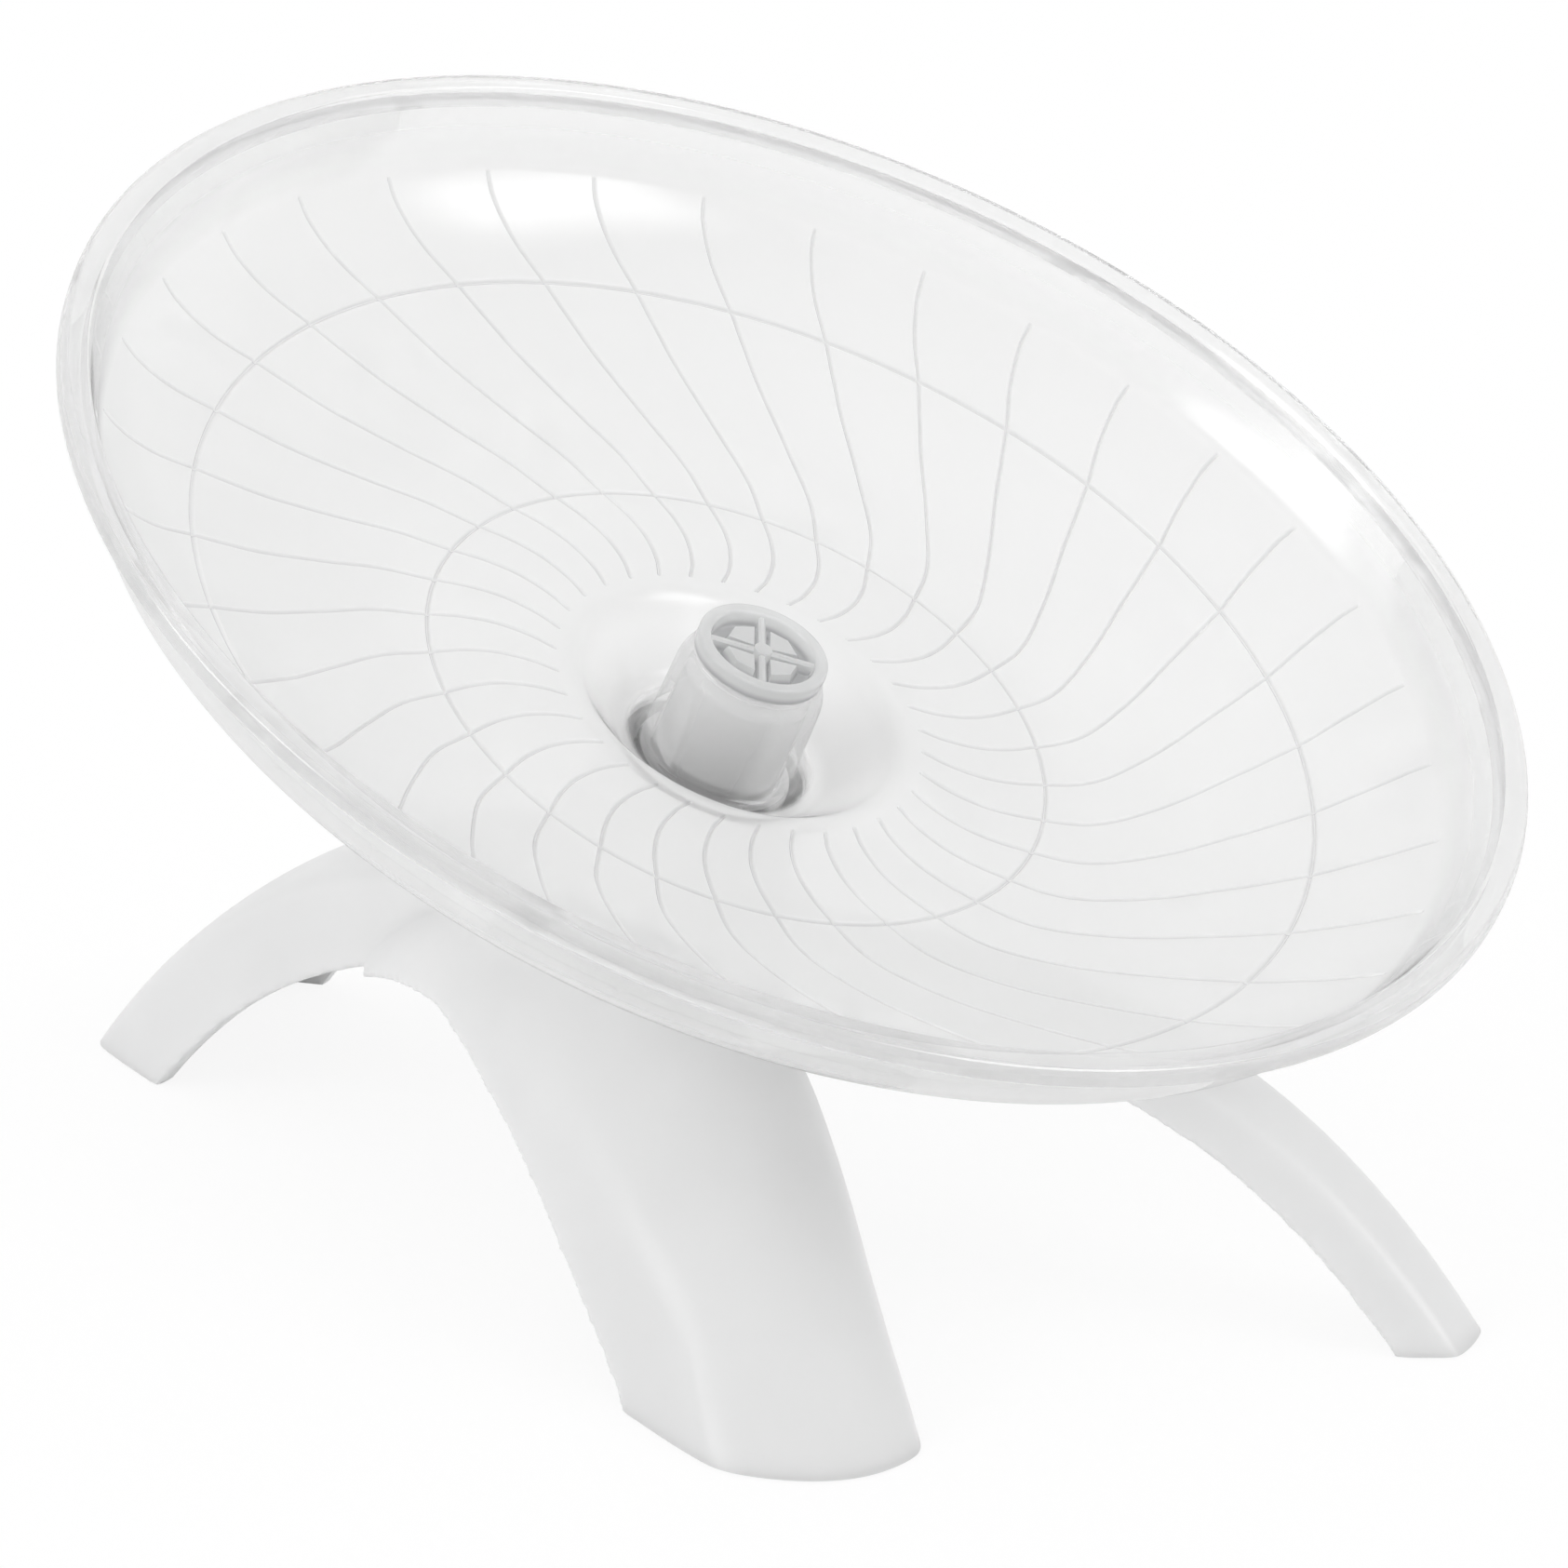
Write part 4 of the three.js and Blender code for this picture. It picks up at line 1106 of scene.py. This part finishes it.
def disc_haze(tree):
    """Colour of the disc's haze, with painted shade in its grooves and painted light in its moat, its share, and
    the share that light crosses unbent.
    """
    radius = axis_distance(tree)
    groove = add_node(tree, "Attribute", attribute_name="groove").outputs["Fac"]
    in_moat = ranged(tree, radius, *MOAT_SPAN, 1.0, 0.0)
    # Painted light: the haze is coloured paler in the moat, to lift its shade
    colour = blended(tree, in_moat, mottled(tree, 12, *DISH_HAZE), MOAT_PAINTED_LIGHT)
    # Painted shade: the haze is coloured darker in the grooves, for their dark lines
    colour = blended(tree, groove, colour, GROOVE_PAINTED_SHADE)
    at_rim = ranged(tree, radius, *RIM, 1.0, 0.3)
    past_foot = ranged(tree, radius, *HUB_FOOT_WINDOW, 0.0, 0.55)
    clouded = calculated(tree, "MULTIPLY", at_rim, past_foot)
    clouded = calculated(tree, "ADD", clouded, ranged(tree, radius, *HUB_WALL, 0.25, 0.0))
    past_wall = ranged(tree, radius, *HUB_WALL, 0.6, 0.82)
    return colour, clouded, calculated(tree, "MULTIPLY", at_rim, past_wall)


def cap_haze(tree):
    """The same for the cap, with painted shade in its recess: its haze is coloured darker there."""
    share = ranged(tree, distance_along(tree, AXIS), *CAP_RECESS_HEIGHT, 0.0, 1.0)
    return blended(tree, share, CAP_RECESS_PAINTED_SHADE, mottled(tree, 60, *CAP_HAZE)), 0.5, 0.5


def clear_plastic(name, haze_of):
    """Clear moulding with a gloss: glassy where its haze is thin, milky where it is thick."""
    material, tree, shader = new_material(name)
    shader.inputs["Transmission Weight"].default_value = 1.0
    shader.inputs["IOR"].default_value = 1.5
    feed(tree, shader.inputs["Base Color"], mottled(tree, 30, *CLEAR_TINTS))
    feed(tree, shader.inputs["Roughness"], drifting(tree, 90, 5, 0.0, 0.02))
    waves = noise(tree, 45, 1)
    bump(tree, waves, *WAVES, shader)
    through = add_node(tree, "BsdfTransparent", {"Color": STRAIGHT_TINT})
    gloss = add_node(tree, "BsdfAnisotropic", {"Roughness": drifting(tree, 90, 5, 0.02, 0.06)})
    bump(tree, waves, *WAVES, gloss)
    haze_colour, clouded, straight = haze_of(tree)
    haze = add_node(tree, "BsdfDiffuse", {"Color": haze_colour})
    body = mixed(tree, straight, shader.outputs[0], through.outputs[0])
    hazed = mixed(tree, clouded, body, haze.outputs[0])
    shine = facing_share(tree, LEAST_GLOSS, GLOSS_POWER)
    coated = mixed(tree, shine, hazed, gloss.outputs[0])
    faint = add_node(tree, "BsdfTransparent", {"Color": SHADOW_TINT})
    surface = mixed(tree, ray_share(tree, "Is Shadow Ray"), coated, faint.outputs[0])
    feed(tree, tree.nodes["Material Output"].inputs["Surface"], surface)
    return material


def milky_plastic(name, painted_shade_of):
    """Satin milky moulding, with painted shade: coloured darker by the share that the function gives."""
    material, tree, shader = new_material(name)
    milky = mottled(tree, 60, *MILKY_TINTS)
    feed(tree, shader.inputs["Base Color"], blended(tree, painted_shade_of(tree), milky, PAINTED_SHADE_TINT))
    feed(tree, shader.inputs["Roughness"], drifting(tree, 150, 4, 0.3, 0.4))
    shader.inputs["IOR"].default_value = 1.49
    shader.inputs["Subsurface Weight"].default_value = 0.55
    shader.inputs["Subsurface Radius"].default_value = (1.0, 1.0, 1.0)
    shader.inputs["Subsurface Scale"].default_value = 0.004
    bump(tree, noise(tree, 900, 4), 0.06, 0.0002, shader)
    return material


def painted_shade_in_gap(tree):
    """Painted shade: the gap of the post's top under the hub's foot is coloured dark, on the near leg's side."""
    radius = axis_distance(tree)
    around = within(tree, radius, GAP_IN, GAP_OUT)
    deep = within(tree, distance_along(tree, AXIS), GAP_BOTTOM, GAP_TOP)
    here = calculated(tree, "MULTIPLY", around, deep)
    side = TURN @ np.array([math.cos(GAP_SHADE_TURN), math.sin(GAP_SHADE_TURN), 0])
    towards = calculated(tree, "DIVIDE", distance_along(tree, side), radius)
    return calculated(tree, "MULTIPLY", here, ranged(tree, towards, *GAP_SHADE_SPAN, 0.0, 1.0))


def painted_shade_of_housing(tree):
    """Painted shade: the housing is coloured greyer towards its foot and dark at the foot, where little light gets
    in.
    """
    height = distance_along(tree, AXIS)
    shade = ranged(tree, height, *HOUSING_HEIGHT, 0.85, 0.16)
    return calculated(tree, "MAXIMUM", shade, ranged(tree, height, *HOUSING_FOOT, 1.0, 0.0))


def steel(name, tints, rough, grain):
    """Brushed or ground steel of a fine grain."""
    material, tree, shader = new_material(name)
    shader.inputs["Metallic"].default_value = 1.0
    feed(tree, shader.inputs["Base Color"], mottled(tree, grain, *tints))
    feed(tree, shader.inputs["Roughness"], drifting(tree, grain * 3, 5, rough, rough + 0.12))
    bump(tree, noise(tree, grain * 8, 3), 0.05, 0.0001, shader)
    return material


# Dress the CAD nodes, then build and place the fine pieces

looks = {
    "clear_plastic": clear_plastic("clear_plastic_look", disc_haze),
    # The stand's milky plastic carries painted shade in the gap of the post's top
    "milky_plastic": milky_plastic("milky_plastic_look", painted_shade_in_gap),
    "bearing_steel": steel("bearing_steel_look", BEARING_STEEL, 0.14, 300),
    "cage_steel": steel("cage_steel_look", CAGE_STEEL, 0.3, 400),
    "plated_steel": steel("plated_steel_look", PLATED_STEEL, 0.2, 350),
}
node_looks = {
    "hub_cap": clear_plastic("clear_cap_look", cap_haze),
    # The housing's milky plastic carries painted shade towards its foot
    "bearing_housing": milky_plastic("milky_housing_look", painted_shade_of_housing),
}
node_slot = {s["node"]: s["material_slot"] for s in frame["record"]["subparts"]}
bodies = frame["record"]["behaviour"]["bodies"]
node_body = {node: body for body, nodes in bodies.items() for node in nodes}


def dress(obj, node):
    """Gives a fine piece the finish and body of the CAD node that it stands for."""
    name = node_slot[node]
    obj.data.materials.clear()
    obj.data.materials.append(node_looks.get(node, looks[name]))
    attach(obj, node_body[node])
    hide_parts(node)


for node, material in node_slot.items():
    cad = frame["nodes"][node]
    cad.data.materials.clear()
    cad.data.materials.append(looks[material])

dress(running_disc(), "running_disc")
dress(hub_cap(), "hub_cap")
dress(stand(), "stand")
for node, obj in bearing_pieces().items():
    dress(obj, node)
dress(bearing_housing(), "bearing_housing")


# Surroundings

FLOOR_RADIUS = 3.0
FLOOR_DROP = 0.0002
FLOOR_GLOW_SHARE = 0.88

# Light of the room by height: from and to this height, strength below and above
ROOM_HEIGHTS = (0.05, 0.6)
ROOM_STRENGTHS = (1.0, 0.8)

# Soft panels of the room: azimuth, elevation, half width, half height, softness, strength
PANELS = [
    (19, 32, 15, 9, 6, 4.0),
    (-116, 31, 16, 9, 6, 4.0),
]

# Camera, placed from the middle of the foot ring
CAMERA_OFFSET = (0.385771, -0.467539, 0.205419)
CAMERA_TURN = (
    (0.77355, -0.21884, 0.59473),
    (0.63372, 0.26711, -0.72597),
    (0, 0.93849, 0.34530),
)
CAMERA_LENS = 124.9
CAMERA_SENSOR = 36.0


def make_floor():
    """Pale floor that shows white itself, apart from the object's shadow."""
    place = (0, 0, -FLOOR_DROP)
    bpy.ops.mesh.primitive_circle_add(
        vertices=96, radius=FLOOR_RADIUS, fill_type="NGON", location=place
    )
    floor = bpy.context.object
    floor.name = "studio_floor"
    material = bpy.data.materials.new("studio_floor")
    material.use_nodes = True
    tree = material.node_tree
    tree.nodes.clear()
    diffuse = add_node(tree, "BsdfDiffuse", {"Color": grey(0.95)})
    glow = add_node(tree, "Emission", {"Strength": 1.0})
    seen = ray_share(tree, "Is Camera Ray", "Is Glossy Ray", "Is Transmission Ray")
    share = calculated(tree, "MULTIPLY", seen, FLOOR_GLOW_SHARE)
    surface = mixed(tree, share, diffuse.outputs[0], glow.outputs[0])
    add_node(tree, "OutputMaterial", {"Surface": surface})
    floor.data.materials.append(material)


def aimed(azimuth, elevation):
    """Unit vector of a direction, its azimuth counted from +X towards +Y."""
    a, e = math.radians(azimuth), math.radians(elevation)
    return Vector((math.cos(e) * math.cos(a), math.cos(e) * math.sin(a), math.sin(e)))


def soft_panel(tree, sky, azimuth, elevation, half_width, half_height, soft, strength):
    """Brightness of a far soft panel of the room, fading out at its edges."""

    def part_along(direction):
        return vector_node(tree, "DOT_PRODUCT", sky, direction).outputs["Value"]

    middle = aimed(azimuth, elevation)
    side = Vector((-middle.y, middle.x, 0)).normalized()
    ahead = calculated(tree, "MAXIMUM", part_along(middle), 0.001)
    panel = strength
    for axis, half in ((side, half_width), (middle.cross(side), half_height)):
        across = calculated(tree, "DIVIDE", part_along(axis), ahead)
        outside, inside = (math.tan(math.radians(half + way * soft)) for way in (1, -1))
        size = calculated(tree, "ABSOLUTE", across)
        fade = ranged(tree, size, outside, inside, 0.0, 1.0)
        panel = calculated(tree, "MULTIPLY", fade, panel)
    return panel


def make_world():
    """A pale room with soft panels, which the camera sees as plain white."""
    world = bpy.data.worlds.new("studio")
    bpy.context.scene.world = world
    world.use_nodes = True
    tree = world.node_tree
    tree.nodes.clear()
    sky = add_node(tree, "TexCoord").outputs["Generated"]
    height = add_node(tree, "SeparateXYZ", {0: sky}).outputs["Z"]
    total = ranged(tree, height, *ROOM_HEIGHTS, *ROOM_STRENGTHS)
    for panel in PANELS:
        total = calculated(tree, "ADD", total, soft_panel(tree, sky, *panel))
    room = add_node(tree, "Background", {"Color": grey(1), "Strength": total})
    seen = add_node(tree, "Background", {"Color": grey(1), "Strength": 1.0})
    by_camera = ray_share(tree, "Is Camera Ray")
    surface = mixed(tree, by_camera, room.outputs[0], seen.outputs[0])
    add_node(tree, "OutputWorld", {"Surface": surface})


def make_camera():
    ring_centre = PIVOT + MM * FOOT_RING_HEIGHT * AXIS
    place = Vector(ring_centre + np.array(CAMERA_OFFSET))
    data = bpy.data.cameras.new("camera")
    data.lens = CAMERA_LENS
    data.sensor_width = CAMERA_SENSOR
    camera = bpy.data.objects.new("camera", data)
    bpy.context.collection.objects.link(camera)
    camera.matrix_world = Matrix.Translation(place) @ Matrix(CAMERA_TURN).to_4x4()
    bpy.context.scene.camera = camera


make_floor()
make_world()
make_camera()

scene = bpy.context.scene
scene.view_settings.view_transform = "Standard"
